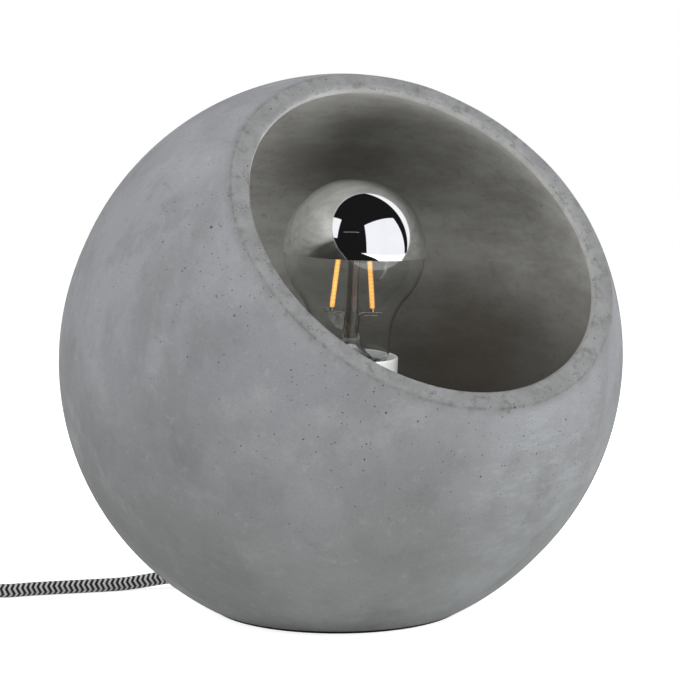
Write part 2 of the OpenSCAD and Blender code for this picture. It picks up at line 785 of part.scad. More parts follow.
// Bridge on the cover plate that grips the cord
module cord_clamp() {
    color([0.9, 0.9, 0.9]) difference() {
        on_cord(clamp_at, cover_top) translate([-clamp_w / 2, -clamp_l / 2, 0])
            cube([clamp_w, clamp_l, clamp_h]);
        cord_rod(clamp_at - clamp_l, clamp_at + clamp_l, cord_r, cord_r);
        on_cord(clamp_at, cover_top - cut) translate([-cord_r, -clamp_l, 0])
            cube([cord_d, 2 * clamp_l, cord_r + cut]);
        for (x = [-clamp_screw_x, clamp_screw_x]) on_cord(clamp_at, cover_top - cut) translate([x, 0, 0])
            cylinder(h = clamp_h, r = screw_r);
    }
}

// Two screws through the cover plate into the clamp
module clamp_screws() {
    color("silver") for (x = [-clamp_screw_x, clamp_screw_x]) on_cord(clamp_at, cover_z)
        translate([x, 0, 0]) screw(clamp_h - cut);
}

// The cord's end inside the base, under the clamp and through the bush
module cord_inner() {
    color([0.4, 0.4, 0.4]) cord_rod(cord_start, bush_end, cord_r, cord_r);
}

module cord_lead() {
    color([0.4, 0.4, 0.4]) sweep(lead_route, cord_r, tube_sides);
}

module cord_link() {
    color([0.4, 0.4, 0.4]) sweep(link_route, cord_r, tube_sides);
}

module cord_end() {
    color([0.4, 0.4, 0.4]) sweep(end_route, cord_r, tube_sides);
}

// The coil winds in along the lower layer, climbs beside the middle, and winds out again
function coil_climb(a) = a < -90 ? 0 : a > 90 ? 1 : (1 + sin(a)) / 2;
function coil_point(a) =
    let (r = coil_inner_r + coil_pitch * abs(a) / 360)
    [coil_at[0] + r * cos(a), coil_at[1] + r * sin(a), coil_low_z + coil_pitch * coil_climb(a)];
coil_end_a = coil_turns * 360;
coil_turned = [for (i = [-coil_turns * coil_steps:coil_turns * coil_steps]) coil_point(i * 360 / coil_steps)];
coil_points = concat(
    [coil_point(-coil_end_a) + [0, cord_d, 0]],
    coil_turned,
    [coil_point(coil_end_a) - [0, cord_d, 0]]
);
coil_least = min([
    for (i = [0:len(coil_turned) - 1], j = [i + coil_steps / 2:1:len(coil_turned) - 1])
        norm(coil_turned[i] - coil_turned[j])
]) - cord_d;
echo(str("Least gap between the coil's turns, mm: ", coil_least));

module cord_coil() {
    color([0.4, 0.4, 0.4]) sweep(coil_points, cord_r, coil_sides);
}

// Strap round the coil's turns, on the side away from the switch
module cord_tie() {
    low = coil_inner_r - cord_r - ease - tie_t;
    high = coil_inner_r + coil_pitch * coil_turns + cord_r + ease;
    top = coil_low_z + coil_pitch + cord_r + ease;
    color([0.15, 0.15, 0.15]) translate([coil_at[0] + tie_w / 2, coil_at[1], 0]) rotate([90, 0, -90])
        linear_extrude(tie_w) difference() {
            round_box([low - tie_t, 0], [high + tie_t, top + tie_t], 2 * tie_t);
            round_box([low, tie_t], [high, top], tie_t);
        }
}

// A rectangle with round corners, from its lower to its upper corner
module round_box(a, b, r) {
    translate([a[0] + r, a[1]]) square([b[0] - a[0] - 2 * r, b[1] - a[1]]);
    translate([a[0], a[1] + r]) square([b[0] - a[0], b[1] - a[1] - 2 * r]);
    for (x = [a[0] + r, b[0] - r], y = [a[1] + r, b[1] - r]) translate([x, y]) circle(r);
}

// The switch stands across the table along X, with its cord on the axis
module at_switch() {
    translate([switch_at[0], switch_at[1], 0]) children();
}

// Half section of the switch housing: a box with a rounded outer corner
module switch_section(w, low, high) {
    intersection() {
        union() {
            translate([0, switch_round]) square([w, switch_h - 2 * switch_round]);
            square([w - switch_round, switch_h]);
            for (y = [switch_round, switch_h - switch_round])
                translate([w - switch_round, y]) circle(switch_round);
        }
        translate([0, low]) square([w, high - low]);
    }
}

// A housing with round ends, from the same half section
module switch_form(w, low, high) {
    for (side = [-1, 1]) translate([side * switch_pill, 0, 0]) rotate_extrude() switch_section(w, low, high);
    translate([-switch_pill, 0, 0]) rotate([90, 0, 90]) linear_extrude(2 * switch_pill) {
        switch_section(w, low, high);
        mirror([1, 0]) switch_section(w, low, high);
    }
}

// The space inside the housing, between two heights
module switch_hollow(low, high) {
    r = switch_w / 2 - switch_wall;
    for (side = [-1, 1]) translate([side * switch_pill, 0, low]) cylinder(h = high - low, r = r);
    translate([-switch_pill, -r, low]) cube([2 * switch_pill, 2 * r, high - low]);
}

// Cylinders along the switch, at the cord's height
module switch_bore(from, to, r) {
    for (side = [-1, 1]) translate([side * from, 0, switch_split]) rotate([0, side * 90, 0])
        cylinder(h = to - from, r = r);
}

module switch_lugs(low, high, r) {
    for (side = [-1, 1]) translate([side * switch_screw_x, side * switch_screw_y, low])
        cylinder(h = high - low, r = r);
}

// The swept room of the rocker, down to a height
module rocker_room(low) {
    intersection() {
        translate([0, rocker_w / 2 + rocker_gap, rocker_z]) rotate([90, 0, 0])
            cylinder(h = rocker_w + 2 * rocker_gap, r = rocker_r + rocker_gap);
        translate([-switch_len, -switch_w, low]) cube([2 * switch_len, 2 * switch_w, switch_len]);
    }
}

rocker_floor = rocker_z - rocker_low * cos(rocker_tilt) - rocker_r * sin(rocker_tilt) - rocker_low_gap;
switch_end = switch_len / 2 + collar_len;

// Lower half of the switch housing
module switch_lower() {
    color([0.08, 0.08, 0.08]) at_switch() difference() {
        union() {
            difference() {
                union() {
                    switch_form(switch_w / 2, 0, switch_split);
                    intersection() {
                        switch_bore(switch_pill, switch_end, collar_r);
                        translate([-switch_len, -switch_w, 0]) cube([2 * switch_len, 2 * switch_w, switch_split]);
                    }
                }
                switch_hollow(switch_wall, switch_h);
            }
            switch_lugs(switch_wall / 2, switch_split, switch_lug_r);
        }
        switch_bore(switch_pill - cut, switch_end + cut, cord_r + screw_gap);
        switch_lugs(-cut, switch_h, screw_r + screw_gap);
        switch_lugs(-cut, 2 * screw_head_h, screw_head_r + screw_gap);
        rocker_room(rocker_floor);
    }
}

// Upper half of the switch housing, with the rocker's window and its pin's two ears
module switch_upper() {
    color([0.08, 0.08, 0.08]) at_switch() difference() {
        union() {
            difference() {
                union() {
                    switch_form(switch_w / 2, switch_split, switch_h);
                    intersection() {
                        switch_bore(switch_pill, switch_end, collar_r);
                        translate([-switch_len, -switch_w, switch_split])
                            cube([2 * switch_len, 2 * switch_w, switch_h]);
                    }
                }
                switch_hollow(0, switch_h - switch_wall);
            }
            switch_lugs(switch_split, switch_h - switch_wall / 2, switch_lug_r);
            for (side = [-1, 1]) translate([-boss_l / 2, side * (rocker_w / 2 + rocker_gap + boss_w / 2) - boss_w / 2,
                    switch_split]) cube([boss_l, boss_w, switch_h - switch_split - switch_wall / 2]);
        }
        switch_bore(switch_pill - cut, switch_end + cut, cord_r + screw_gap);
        switch_lugs(0, switch_h - 2 * switch_wall, screw_r);
        rocker_room(0);
        translate([0, rocker_w / 2 + rocker_gap + boss_w, rocker_z]) rotate([90, 0, 0])
            cylinder(h = rocker_w + 2 * rocker_gap + 2 * boss_w, r = rocker_pin_r);
    }
}

// Rocker at rest, pressed down at the end away from the lamp
module switch_rocker() {
    color([0.85, 0.85, 0.85]) at_switch() translate([0, 0, rocker_z]) rotate([0, -rocker_tilt, 0]) difference() {
        translate([0, rocker_w / 2, 0]) rotate([90, 0, 0]) cylinder(h = rocker_w, r = rocker_r);
        translate([-rocker_r, -rocker_w, -2 * rocker_r]) cube([2 * rocker_r, 2 * rocker_w, 2 * rocker_r - rocker_low]);
        for (side = [-1, 1]) translate([0, 0, rocker_crown]) rotate([0, -side * rocker_tilt, 0])
            translate([side > 0 ? -cut : -2 * rocker_r, -rocker_w, 0]) cube([2 * rocker_r + cut, 2 * rocker_w, rocker_r]);
        translate([0, rocker_w, 0]) rotate([90, 0, 0])
            cylinder(h = 2 * rocker_w, r = rocker_pin_r + rocker_pin_gap);
    }
}

module rocker_pin() {
    half = rocker_w / 2 + rocker_gap + boss_w;
    color("silver") at_switch() translate([0, half, rocker_z]) rotate([90, 0, 0])
        cylinder(h = 2 * half, r = rocker_pin_r);
}

// Two brass contacts on the housing's floor
module switch_contacts() {
    color("goldenrod") at_switch() for (side = [-1, 1]) translate([side * contact_x - contact_w / 2,
            -side * contact_w - contact_w / 2, switch_wall]) cube([contact_w, contact_w, contact_w / 2]);
}

module switch_screws() {
    color("silver") at_switch() for (side = [-1, 1])
        translate([side * switch_screw_x, side * switch_screw_y, 2 * screw_head_h])
            screw(switch_h - 2 * switch_wall - 2 * screw_head_h - cut);
}

// The cord's two ends inside the switch's collars
module switch_cord_ends() {
    color([0.4, 0.4, 0.4]) at_switch() switch_bore(switch_end - cord_hold, switch_end, cord_r);
}

// The plug lies flat, its pins towards -Y
module at_plug(y = 0) {
    translate([plug_at[0], plug_at[1] - y, plug_z]) children();
}

// Ribbed sleeve behind the plug
module plug_sleeve() {
    groove = sleeve_len / (2 * sleeve_grooves + 1);
    color([0.08, 0.08, 0.08]) at_plug() rotate([90, 0, 0]) difference() {
        cylinder(h = sleeve_len, r1 = sleeve_thin_r, r2 = sleeve_thick_r);
        for (i = [0:sleeve_grooves - 1]) translate([0, 0, (2 * i + 1) * groove])
            pipe(groove / 2, sleeve_thick_r + cut, cord_r + (sleeve_thin_r - cord_r) / 2);
    }
}

// Flat plug body: wide at the pins, drawn in towards the sleeve
module plug_body() {
    front = plug_w / 2;
    rear = plug_rear_w / 2;
    shoulder_y = plug_len - plug_shoulder;
    color([0.08, 0.08, 0.08]) at_plug(sleeve_len) difference() {
        intersection() {
            rotate([0, 0, 180]) translate([0, 0, -plug_t / 2]) linear_extrude(plug_t) {
                polygon([
                    [-rear, 0], [rear, 0], [front, shoulder_y], [front, plug_len - plug_round],
                    [front - plug_round, plug_len], [plug_round - front, plug_len],
                    [-front, plug_len - plug_round], [-front, shoulder_y]
                ]);
            }
            rotate([90, 0, 0]) translate([0, 0, -cut]) linear_extrude(plug_len + 2 * cut)
                round_box([-front, -plug_t / 2], [front, plug_t / 2], plug_round);
        }
        for (x = [-pin_gap / 2, pin_gap / 2]) translate([x, -plug_len + plug_shoulder / 2, 0])
            rotate([90, 0, 0]) {
                cylinder(h = plug_shoulder / 2 - pin_relief, r = pin_foot_r);
                cylinder(h = plug_shoulder, r = pin_core_r);
            }
    }
}

// Two plug pins: thin inside the insulation, full at the round tip
module plug_pins() {
    color("silver") for (x = [-pin_gap / 2, pin_gap / 2])
        at_plug(sleeve_len + plug_len) translate([x, 0, 0]) rotate([90, 0, 0]) {
            translate([0, 0, -plug_shoulder / 2]) cylinder(h = plug_shoulder / 2 - pin_relief, r = pin_foot_r);
            translate([0, 0, -pin_relief]) cylinder(h = pin_len - pin_r + pin_relief, r = pin_core_r);
            translate([0, 0, pin_sleeve_len]) cylinder(h = pin_len - pin_r - pin_sleeve_len, r = pin_r);
            translate([0, 0, pin_len - pin_r]) sphere(pin_r);
        }
}

// Insulation round the inner half of each pin
module pin_sleeves() {
    color([0.08, 0.08, 0.08]) for (x = [-pin_gap / 2, pin_gap / 2])
        at_plug(sleeve_len + plug_len) translate([x, 0, 0]) rotate([90, 0, 0])
            translate([0, 0, pin_relief]) pipe(pin_sleeve_len - pin_relief, pin_r, pin_core_r);
}

concrete_globe();
foot_pad();
base_cover();
cover_inserts();
cover_screws();
stem_tube();
lower_washer();
lower_nut();
upper_washer();
upper_nut();
spacer_tube();
holder_cap();
holder_skirt();
holder_core();
screw_shell();
centre_contact();
terminals();
terminal_screws();
lead_live();
lead_neutral();
bulb_glass();
mirror_crown();
glass_stem();
filaments();
filament_wires();
bulb_cap();
cap_insulator();
cap_contact();
driver_board();
cord_bush();
cord_clamp();
clamp_screws();
cord_inner();
cord_lead();
switch_lower();
switch_upper();
switch_rocker();
rocker_pin();
switch_contacts();
switch_screws();
switch_cord_ends();
cord_link();
cord_coil();
cord_tie();
cord_end();
plug_sleeve();
plug_body();
plug_pins();
pin_sleeves();
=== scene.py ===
import math

import bmesh
import bpy
from mathutils import Matrix, Vector, noise


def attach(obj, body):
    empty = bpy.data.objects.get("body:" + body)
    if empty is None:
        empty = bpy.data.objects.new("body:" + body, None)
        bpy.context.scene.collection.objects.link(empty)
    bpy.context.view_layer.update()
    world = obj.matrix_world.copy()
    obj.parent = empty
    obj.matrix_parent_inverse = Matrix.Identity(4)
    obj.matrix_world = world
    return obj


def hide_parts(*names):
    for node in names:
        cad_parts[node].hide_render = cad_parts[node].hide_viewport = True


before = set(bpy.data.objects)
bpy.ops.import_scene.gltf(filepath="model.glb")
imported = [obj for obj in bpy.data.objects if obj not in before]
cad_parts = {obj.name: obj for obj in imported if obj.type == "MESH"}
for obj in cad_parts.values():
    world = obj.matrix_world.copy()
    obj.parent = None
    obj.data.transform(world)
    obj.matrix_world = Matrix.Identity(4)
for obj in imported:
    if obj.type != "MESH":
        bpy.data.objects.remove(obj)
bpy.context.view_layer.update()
scene = bpy.context.scene
scene.view_settings.view_transform = "Standard"

# Camera: a long lens a little above the table, turned to the lamp's left front, as in the photograph. Its
# heading and its dip are in degrees.
camera_heading = 29.6
camera_dip = 4.31
camera_data = bpy.data.cameras.new("camera")
camera_data.lens = 85.53
camera_data.sensor_width = 36
camera = bpy.data.objects.new("camera", camera_data)
camera.location = (-0.3408, -0.6000, 0.1664)
camera.rotation_euler = (math.radians(90 - camera_dip), 0, math.radians(-camera_heading))
scene.collection.objects.link(camera)
scene.camera = camera


# Studio: a white room with a pale floor that keeps the lamp's shadow. Two large soft lamps stand at the
# sides and a weak one in front, and two small ones brighten the globe's hollow. Polished metal and glass
# also see white panels, a rail and a dark half dome behind the camera.
def add(tree, kind, sockets=None, **settings):
    made = tree.nodes.new("ShaderNode" + kind)
    for key, value in settings.items():
        setattr(made, key, value)
    for key, value in (sockets or {}).items():
        if isinstance(value, bpy.types.NodeSocket):
            tree.links.new(value, made.inputs[key])
        else:
            made.inputs[key].default_value = value
    return made


def calc(tree, operation, a, b=0.0, c=0.0):
    return add(tree, "Math", {0: a, 1: b, 2: c}, operation=operation).outputs[0]


def step(tree, value, low, high):
    return add(tree, "MapRange", {0: value, 1: low, 2: high}, interpolation_type="SMOOTHSTEP").outputs[0]


def seen(tree):
    path = add(tree, "LightPath")
    direct = calc(tree, "MAXIMUM", path.outputs["Is Camera Ray"], path.outputs["Is Glossy Ray"])
    return calc(tree, "MAXIMUM", direct, path.outputs["Is Transmission Ray"])


def finish(name, surface_of):
    material = bpy.data.materials.new(name)
    material.use_nodes = True
    tree = material.node_tree
    tree.nodes.clear()
    add(tree, "OutputMaterial", {"Surface": surface_of(tree)})
    return material


white = (1, 1, 1, 1)
room_light = 0.12
world = bpy.data.worlds.new("studio")
world.use_nodes = True
world.node_tree.nodes.clear()
room = add(world.node_tree, "Background", {"Color": white, "Strength": room_light})
backdrop = add(world.node_tree, "Background", {"Color": white, "Strength": 1})
room_or_backdrop = add(world.node_tree, "MixShader", {
    0: seen(world.node_tree), 1: room.outputs[0], 2: backdrop.outputs[0]})
add(world.node_tree, "OutputWorld", {"Surface": room_or_backdrop.outputs[0]})
scene.world = world
studio_middle = Vector((0, 0, 0.15))


# around is in degrees to the camera's right, seen from the lamp, and up in degrees above the table
def bearing(around, up):
    turn, rise = math.radians(around - camera_heading), math.radians(up)
    return Vector((math.sin(turn) * math.cos(rise), -math.cos(turn) * math.cos(rise), math.sin(rise)))


def toward(around, up, reach):
    return bearing(around, up) * reach + studio_middle


globe_aim = (0, 0, 0.12)
for name, place, aim, size, watts in (
    ("key_softbox", toward(52, 32, 1.5), globe_aim, 1.1, 19.0),
    ("left_softbox", toward(-70, 36, 1.5), globe_aim, 1.0, 14.0),
    ("front_softbox", toward(-10, 10, 1.6), globe_aim, 1.0, 1.3),
    ("hollow_fill_left", Vector((-0.052, -0.048, 0.140)), (0.014, 0.035, 0.212), 0.03, 0.095),
    ("hollow_fill_low", Vector((-0.020, -0.086, 0.118)), (0.060, 0.000, 0.200), 0.06, 0.062),
):
    lamp_data = bpy.data.lights.new(name, "AREA")
    lamp_data.shape = "SQUARE"
    lamp_data.size = size
    lamp_data.energy = watts
    lamp = bpy.data.objects.new(name, lamp_data)
    lamp.location = place
    lamp.rotation_euler = (Vector(aim) - place).to_track_quat("-Z", "Y").to_euler()
    lamp.visible_glossy = False
    lamp.visible_camera = False
    # through the glass, only the left lamp shows
    lamp.visible_transmission = name == "left_softbox"
    scene.collection.objects.link(lamp)


def sheet(place):
    bm = bmesh.new()
    bmesh.ops.create_grid(bm, x_segments=1, y_segments=1, size=0.5)
    bmesh.ops.transform(bm, matrix=place, verts=bm.verts)
    return bm


def set_up(name, bm, material):
    mesh = bpy.data.meshes.new(name)
    bm.to_mesh(mesh)
    bm.free()
    mesh.materials.append(material)
    made = bpy.data.objects.new(name, mesh)
    scene.collection.objects.link(made)
    return made


floor_width = 12
shadow_start, shadow_end = 0.09, 0.34
shadow_glow = 0.82


# the floor is white to the eye, a little darker round the lamp, and open from below
def pale_floor(tree):
    spot = add(tree, "TexCoord").outputs["Object"]
    far = add(tree, "VectorMath", {0: spot}, operation="LENGTH").outputs["Value"]
    fade = step(tree, far, shadow_start, shadow_end)
    matt = add(tree, "BsdfDiffuse", {"Color": (0.86, 0.86, 0.86, 1)})
    level = calc(tree, "MULTIPLY_ADD", fade, 1 - shadow_glow, shadow_glow)
    glow = add(tree, "Emission", {"Color": white, "Strength": calc(tree, "MULTIPLY", seen(tree), level)})
    top = add(tree, "AddShader", {0: matt.outputs[0], 1: glow.outputs[0]})
    below = add(tree, "NewGeometry").outputs["Backfacing"]
    open_below = add(tree, "BsdfTransparent", {"Color": white})
    return add(tree, "MixShader", {0: below, 1: top.outputs[0], 2: open_below.outputs[0]}).outputs[0]


def glowing(level):
    def surface(tree):
        return add(tree, "Emission", {"Color": (level, level, 1.04 * level, 1), "Strength": 1}).outputs[0]
    return surface


floor = sheet(Matrix.Diagonal((floor_width, floor_width, 1, 1)))
staged = [set_up("floor", floor, finish("studio_floor", pale_floor))]
dark = finish("dark", glowing(0.010))
bright = finish("bright", glowing(1.0))
dome = bmesh.new()
bmesh.ops.create_uvsphere(dome, u_segments=48, v_segments=24, radius=2.6)
for normal in (Vector((0, 0, 1)), bearing(0, 14), bearing(8, 14)):
    bmesh.ops.bisect_plane(dome, geom=dome.verts[:] + dome.edges[:] + dome.faces[:], plane_co=(0, 0, 0.001),
                           plane_no=normal, clear_inner=True)
reflectors = [("room_dark_side", dome, dark)]
for name, around, up, reach, wide, high in (
    ("panel_right", 51.6, 21, 1.5, 1.84, 1.72),
    ("panel_left", -46, 38, 1.7, 0.85, 1.1),
    ("rail", -6, 29.5, 2.2, 0.9, 0.012),
):
    place = toward(around, up, reach)
    turn = (Vector((0, 0, place.z)) - place).to_track_quat("-Z", "Y").to_matrix().to_4x4()
    upright = Matrix.Translation(place) @ turn @ Matrix.Diagonal((wide, high, 1, 1))
    reflectors.append((name, sheet(upright), bright))
table_turn = Matrix.Rotation(math.radians(-camera_heading), 4, "Z")
table_end = Matrix.Translation((-0.984, -1.327, 0.001)) @ table_turn @ Matrix.Diagonal((1.25, 2.32, 1, 1))
reflectors.append(("table_end", sheet(table_end), dark))
for name, bm, material in reflectors:
    reflector = set_up(name, bm, material)
    reflector.visible_camera = False
    reflector.visible_diffuse = False
    reflector.visible_shadow = False
    reflector.visible_transmission = False
    staged.append(reflector)


# Cord: round flex, 6 mm across, in a black and white zigzag textile braid. It leaves the base, runs along
# the table through the switch, lies coiled under its strap beside the lamp, and ends in the plug. Its
# routes are in millimetres.
cord_radius = 0.003
ring_gap = 0.002
zigzag_repeat, zigzag_rise, zigzags_round = 0.00232, 0.0012, 8.0
threads_per_metre, threads_round = 3125.0, 24.0


def blend(tree, factor, a, b, mode="MIX"):
    return add(tree, "Mix", {0: factor, 6: a, 7: b}, data_type="RGBA", blend_type=mode).outputs[2]


# a colour as a screen shows it, 0 to 255, made linear
def tone(red, green, blue):
    parts = [c / 255 for c in (red, green, blue)]
    return tuple(c / 12.92 if c < 0.0404 else ((c + 0.055) / 1.055) ** 2.4 for c in parts) + (1,)


def braid(tree):
    split = add(tree, "SeparateXYZ", {0: add(tree, "UVMap", uv_map="braid").outputs[0]})
    along, around = split.outputs[0], split.outputs[1]
    zig = calc(tree, "PINGPONG", calc(tree, "MULTIPLY", around, zigzags_round), 1.0)
    lean = calc(tree, "MULTIPLY_ADD", zig, zigzag_rise, along)
    turn = calc(tree, "FRACT", calc(tree, "DIVIDE", lean, zigzag_repeat))
    tooth = calc(tree, "PINGPONG", turn, 0.5)
    pale = step(tree, tooth, 0.245, 0.285)
    thread = calc(tree, "PINGPONG", calc(tree, "MULTIPLY", lean, threads_per_metre), 0.5)
    cross = calc(tree, "PINGPONG", calc(tree, "MULTIPLY", around, threads_round), 0.5)
    spot = add(tree, "TexCoord").outputs["Object"]
    fluff = add(tree, "TexNoise", {"Vector": spot, "Scale": 2600.0, "Detail": 2.0}).outputs[0]
    shade = calc(tree, "MULTIPLY_ADD", fluff, 0.4, 0.82)
    colour = blend(tree, pale, tone(24, 24, 26), tone(250, 250, 248))
    colour = blend(tree, 1.0, colour, shade, "MULTIPLY")
    height = calc(tree, "ADD", calc(tree, "MULTIPLY", thread, 1.2), calc(tree, "MULTIPLY", cross, 0.8))
    height = calc(tree, "ADD", height, calc(tree, "MULTIPLY", fluff, 0.4))
    bump = add(tree, "Bump", {"Strength": 0.7, "Distance": 0.0003, "Height": height})
    return add(tree, "BsdfPrincipled", {
        "Base Color": colour, "Roughness": 0.82, "Sheen Weight": 0.25, "Normal": bump.outputs[0]}).outputs[0]


def in_metres(points):
    return [Vector(point) / 1000 for point in points]


# a smooth path through the points in even steps, and the length of a step
def even(points, spacing):
    fine = []
    padded = [points[0]] + points + [points[-1]]
    for p0, p1, p2, p3 in zip(padded, padded[1:], padded[2:], padded[3:]):
        for i in range(8):
            t = i / 8
            fine.append(0.5 * (2 * p1 + (p2 - p0) * t + (2 * p0 - 5 * p1 + 4 * p2 - p3) * t * t
                               + (3 * p1 - p0 - 3 * p2 + p3) * t ** 3))
    fine.append(points[-1])
    total = sum((b - a).length for a, b in zip(fine, fine[1:]))
    count = round(total / spacing)
    stride, run, path = total / count, 0.0, [fine[0]]
    for a, b in zip(fine, fine[1:]):
        gap = (b - a).length
        while gap and run + gap >= stride * len(path) and len(path) < count:
            path.append(a.lerp(b, (stride * len(path) - run) / gap))
        run += gap
    return path + [fine[-1]], stride


def tube(name, points, radius, sides=16):
    curve = bpy.data.curves.new(name, "CURVE")
    curve.dimensions = "3D"
    curve.bevel_depth = radius
    curve.bevel_resolution = sides // 2 - 2
    curve.use_fill_caps = True
    curve.twist_mode = "MINIMUM"
    spline = curve.splines.new("POLY")
    spline.points.add(len(points) - 1)
    for spot, point in zip(spline.points, points):
        spot.co = (*point, 1)
    made = bpy.data.objects.new(name, curve)
    scene.collection.objects.link(made)
    mesh = bpy.data.meshes.new_from_object(made)
    bpy.data.objects.remove(made)
    mesh.name = name
    mesh.shade_smooth()
    mesh.set_sharp_from_angle(angle=math.radians(50))
    obj = bpy.data.objects.new(name, mesh)
    scene.collection.objects.link(obj)
    return obj


# the braid's pattern follows the cord: u runs along it in metres, v once round it
def braided(name, path, stride):
    obj = tube(name, path, cord_radius)
    mesh = obj.data
    sides = len(mesh.vertices) // len(path)
    layer = mesh.uv_layers.new(name="braid")
    for face in mesh.polygons:
        turns = [mesh.loops[i].vertex_index % sides for i in face.loop_indices]
        wraps = max(turns) - min(turns) > sides // 2
        for i, turn in zip(face.loop_indices, turns):
            ring = mesh.loops[i].vertex_index // sides
            layer.data[i].uv = (ring * stride, (sides if wraps and turn == 0 else turn) / sides)
    mesh.materials.append(cord_cloth)
    return obj


cord_cloth = finish("cord_braid", braid)
inner_route = [(-9.64, 11.49, 6.0), (-20.0, 23.84, 6.0), (-33.0, 39.33, 6.0), (-44.99, 53.61, 6.0)]
lead_route = [
    (-45.0, 53.6, 6.0), (-46.6, 55.5, 6.0), (-49.2, 58.3, 5.9), (-52.3, 60.7, 5.6), (-55.7, 62.6, 5.1),
    (-59.3, 64.1, 4.6), (-66.0, 66.3, 3.7), (-72.5, 68.3, 3.1), (-80.0, 70.4, 3.0), (-88.0, 72.7, 3.0),
    (-96.0, 75.0, 3.0), (-104.0, 77.3, 3.0), (-112.0, 79.4, 3.0), (-121.0, 81.0, 3.0), (-125.0, 81.9, 3.3),
    (-129.0, 83.0, 4.1), (-133.0, 84.1, 5.5), (-137.0, 85.0, 6.9), (-141.0, 85.7, 7.7), (-145.0, 86.0, 8.0),
    (-150.0, 86.0, 8.0)]
switch_route = [(x, 86.0, 8.0) for x in (-160, -172, -185, -198, -210)]
link_route = [
    (-220.0, 86.0, 8.0), (-226.0, 86.0, 8.0), (-232.5, 85.1, 7.8), (-238.5, 82.6, 7.5), (-243.8, 78.6, 7.0),
    (-247.7, 73.4, 6.5), (-250.2, 67.4, 6.0), (-251.1, 60.9, 5.5), (-251.1, 52.0, 4.9), (-251.1, 43.0, 4.4),
    (-251.1, 34.0, 4.2), (-251.1, 22.0, 4.2)]
end_route = [
    (-251.1, 10.0, 10.8), (-251.1, 4.0, 10.8), (-251.1, -2.0, 10.4), (-251.1, -8.0, 9.4),
    (-251.1, -14.0, 8.2), (-251.1, -20.0, 7.2), (-251.1, -26.0, 6.85), (-251.1, -32.0, 6.85)]

# the coil winds inwards over three and a half turns, climbs one layer in its middle, and winds out again
coil_x, coil_y, coil_low = -204, 16, 4.2
coil_inside, coil_pitch, coil_sweep, climb_sweep = 24, 6.6, 1260, 90
coil_route = []
for degrees in range(-coil_sweep, coil_sweep + 1, 10):
    turn = math.radians(degrees)
    reach = coil_inside + coil_pitch * abs(degrees) / 360
    climb = 0 if degrees < -climb_sweep else 1 if degrees > climb_sweep else (1 + math.sin(turn)) / 2
    coil_route.append((coil_x + reach * math.cos(turn), coil_y + reach * math.sin(turn),
                       coil_low + coil_pitch * climb))
whole_route = lead_route + switch_route + link_route + coil_route + end_route
cord_path, cord_stride = even(in_metres(whole_route), ring_gap)
cord = braided("cord", cord_path, cord_stride)

# inside the switch the braid stops on both sides, clear of the rocker
switch_x, switch_y, braid_stop = -0.185, 0.086, 0.025
bm = bmesh.new()
bm.from_mesh(cord.data)
bared = [v for v in bm.verts if abs(v.co.x - switch_x) < braid_stop and abs(v.co.y - switch_y) < 0.004]
bmesh.ops.delete(bm, geom=bared, context="VERTS")
bmesh.ops.holes_fill(bm, edges=[edge for edge in bm.edges if edge.is_boundary], sides=0)
bm.to_mesh(cord.data)
bm.free()
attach(cord, "root")
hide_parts("cord_lead", "cord_link", "cord_coil", "cord_end", "switch_cord_ends")
inner_path, inner_stride = even(in_metres(inner_route), ring_gap)
cord_inside = braided("cord_inside", inner_path, inner_stride)
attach(cord_inside, "root")
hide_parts("cord_inner")


# Globe: one hollow casting in grey concrete, two half balls of 118 mm radius with a 6 mm belt between them.
# The round mouth is tilted 38 degrees above level, its lip softly rounded and rubbed; floor, stem seat,
# wiring chamber and cord channel are cast in. Its outlines are in millimetres.
def arc(centre, radius, start, end, steps, skip=0):
    return [(centre[0] + radius * math.cos(math.radians(start + (end - start) * i / steps)),
             centre[1] + radius * math.sin(math.radians(start + (end - start) * i / steps)))
            for i in range(skip, steps + 1)]


# a spin leaves its faces in a chance order; sorted by their corners, they are cut alike in every run
def put_in_order(bm):
    bm.verts.index_update()
    count = len(bm.verts)

    def rank(part):
        first, second, *others = sorted(corner.index for corner in part.verts)
        return (first * count + second) * count + (others[0] if others else 0)

    bm.faces.sort(key=rank)
    bm.edges.sort(key=rank)


def piece(name, bm, place=Matrix()):
    bmesh.ops.remove_doubles(bm, verts=bm.verts, dist=2e-6)
    bmesh.ops.recalc_face_normals(bm, faces=bm.faces)
    put_in_order(bm)
    bmesh.ops.transform(bm, matrix=place, verts=bm.verts)
    mesh = bpy.data.meshes.new(name)
    bm.to_mesh(mesh)
    bm.free()
    mesh.shade_smooth()
    mesh.set_sharp_from_angle(angle=math.radians(35))
    obj = bpy.data.objects.new(name, mesh)
    scene.collection.objects.link(obj)
    return obj


# spins an outline of radii and heights; one that stays off the axis is closed into a ring
def turned(name, line, place, steps=96):
    bm = bmesh.new()
    spots = [bm.verts.new((x / 1000, 0, h / 1000)) for x, h in line]
    sides = [bm.edges.new(pair) for pair in zip(spots, spots[1:])]
    if line[0][0] > 0 or line[-1][0] > 0:
        sides.append(bm.edges.new((spots[-1], spots[0])))
    bmesh.ops.spin(bm, geom=spots + sides, cent=(0, 0, 0), axis=(0, 0, 1), angle=math.tau, steps=steps,
                   use_merge=True, use_duplicate=False)
    return piece(name, bm, place)


def rod(name, start, end, radius, sides=64):
    start, end = Vector(start) / 1000, Vector(end) / 1000
    bm = bmesh.new()
    bmesh.ops.create_cone(bm, cap_ends=True, segments=sides, radius1=radius / 1000, radius2=radius / 1000,
                          depth=(end - start).length)
    turn = (end - start).to_track_quat("Z", "Y").to_matrix().to_4x4()
    return piece(name, bm, Matrix.Translation((start + end) / 2) @ turn)


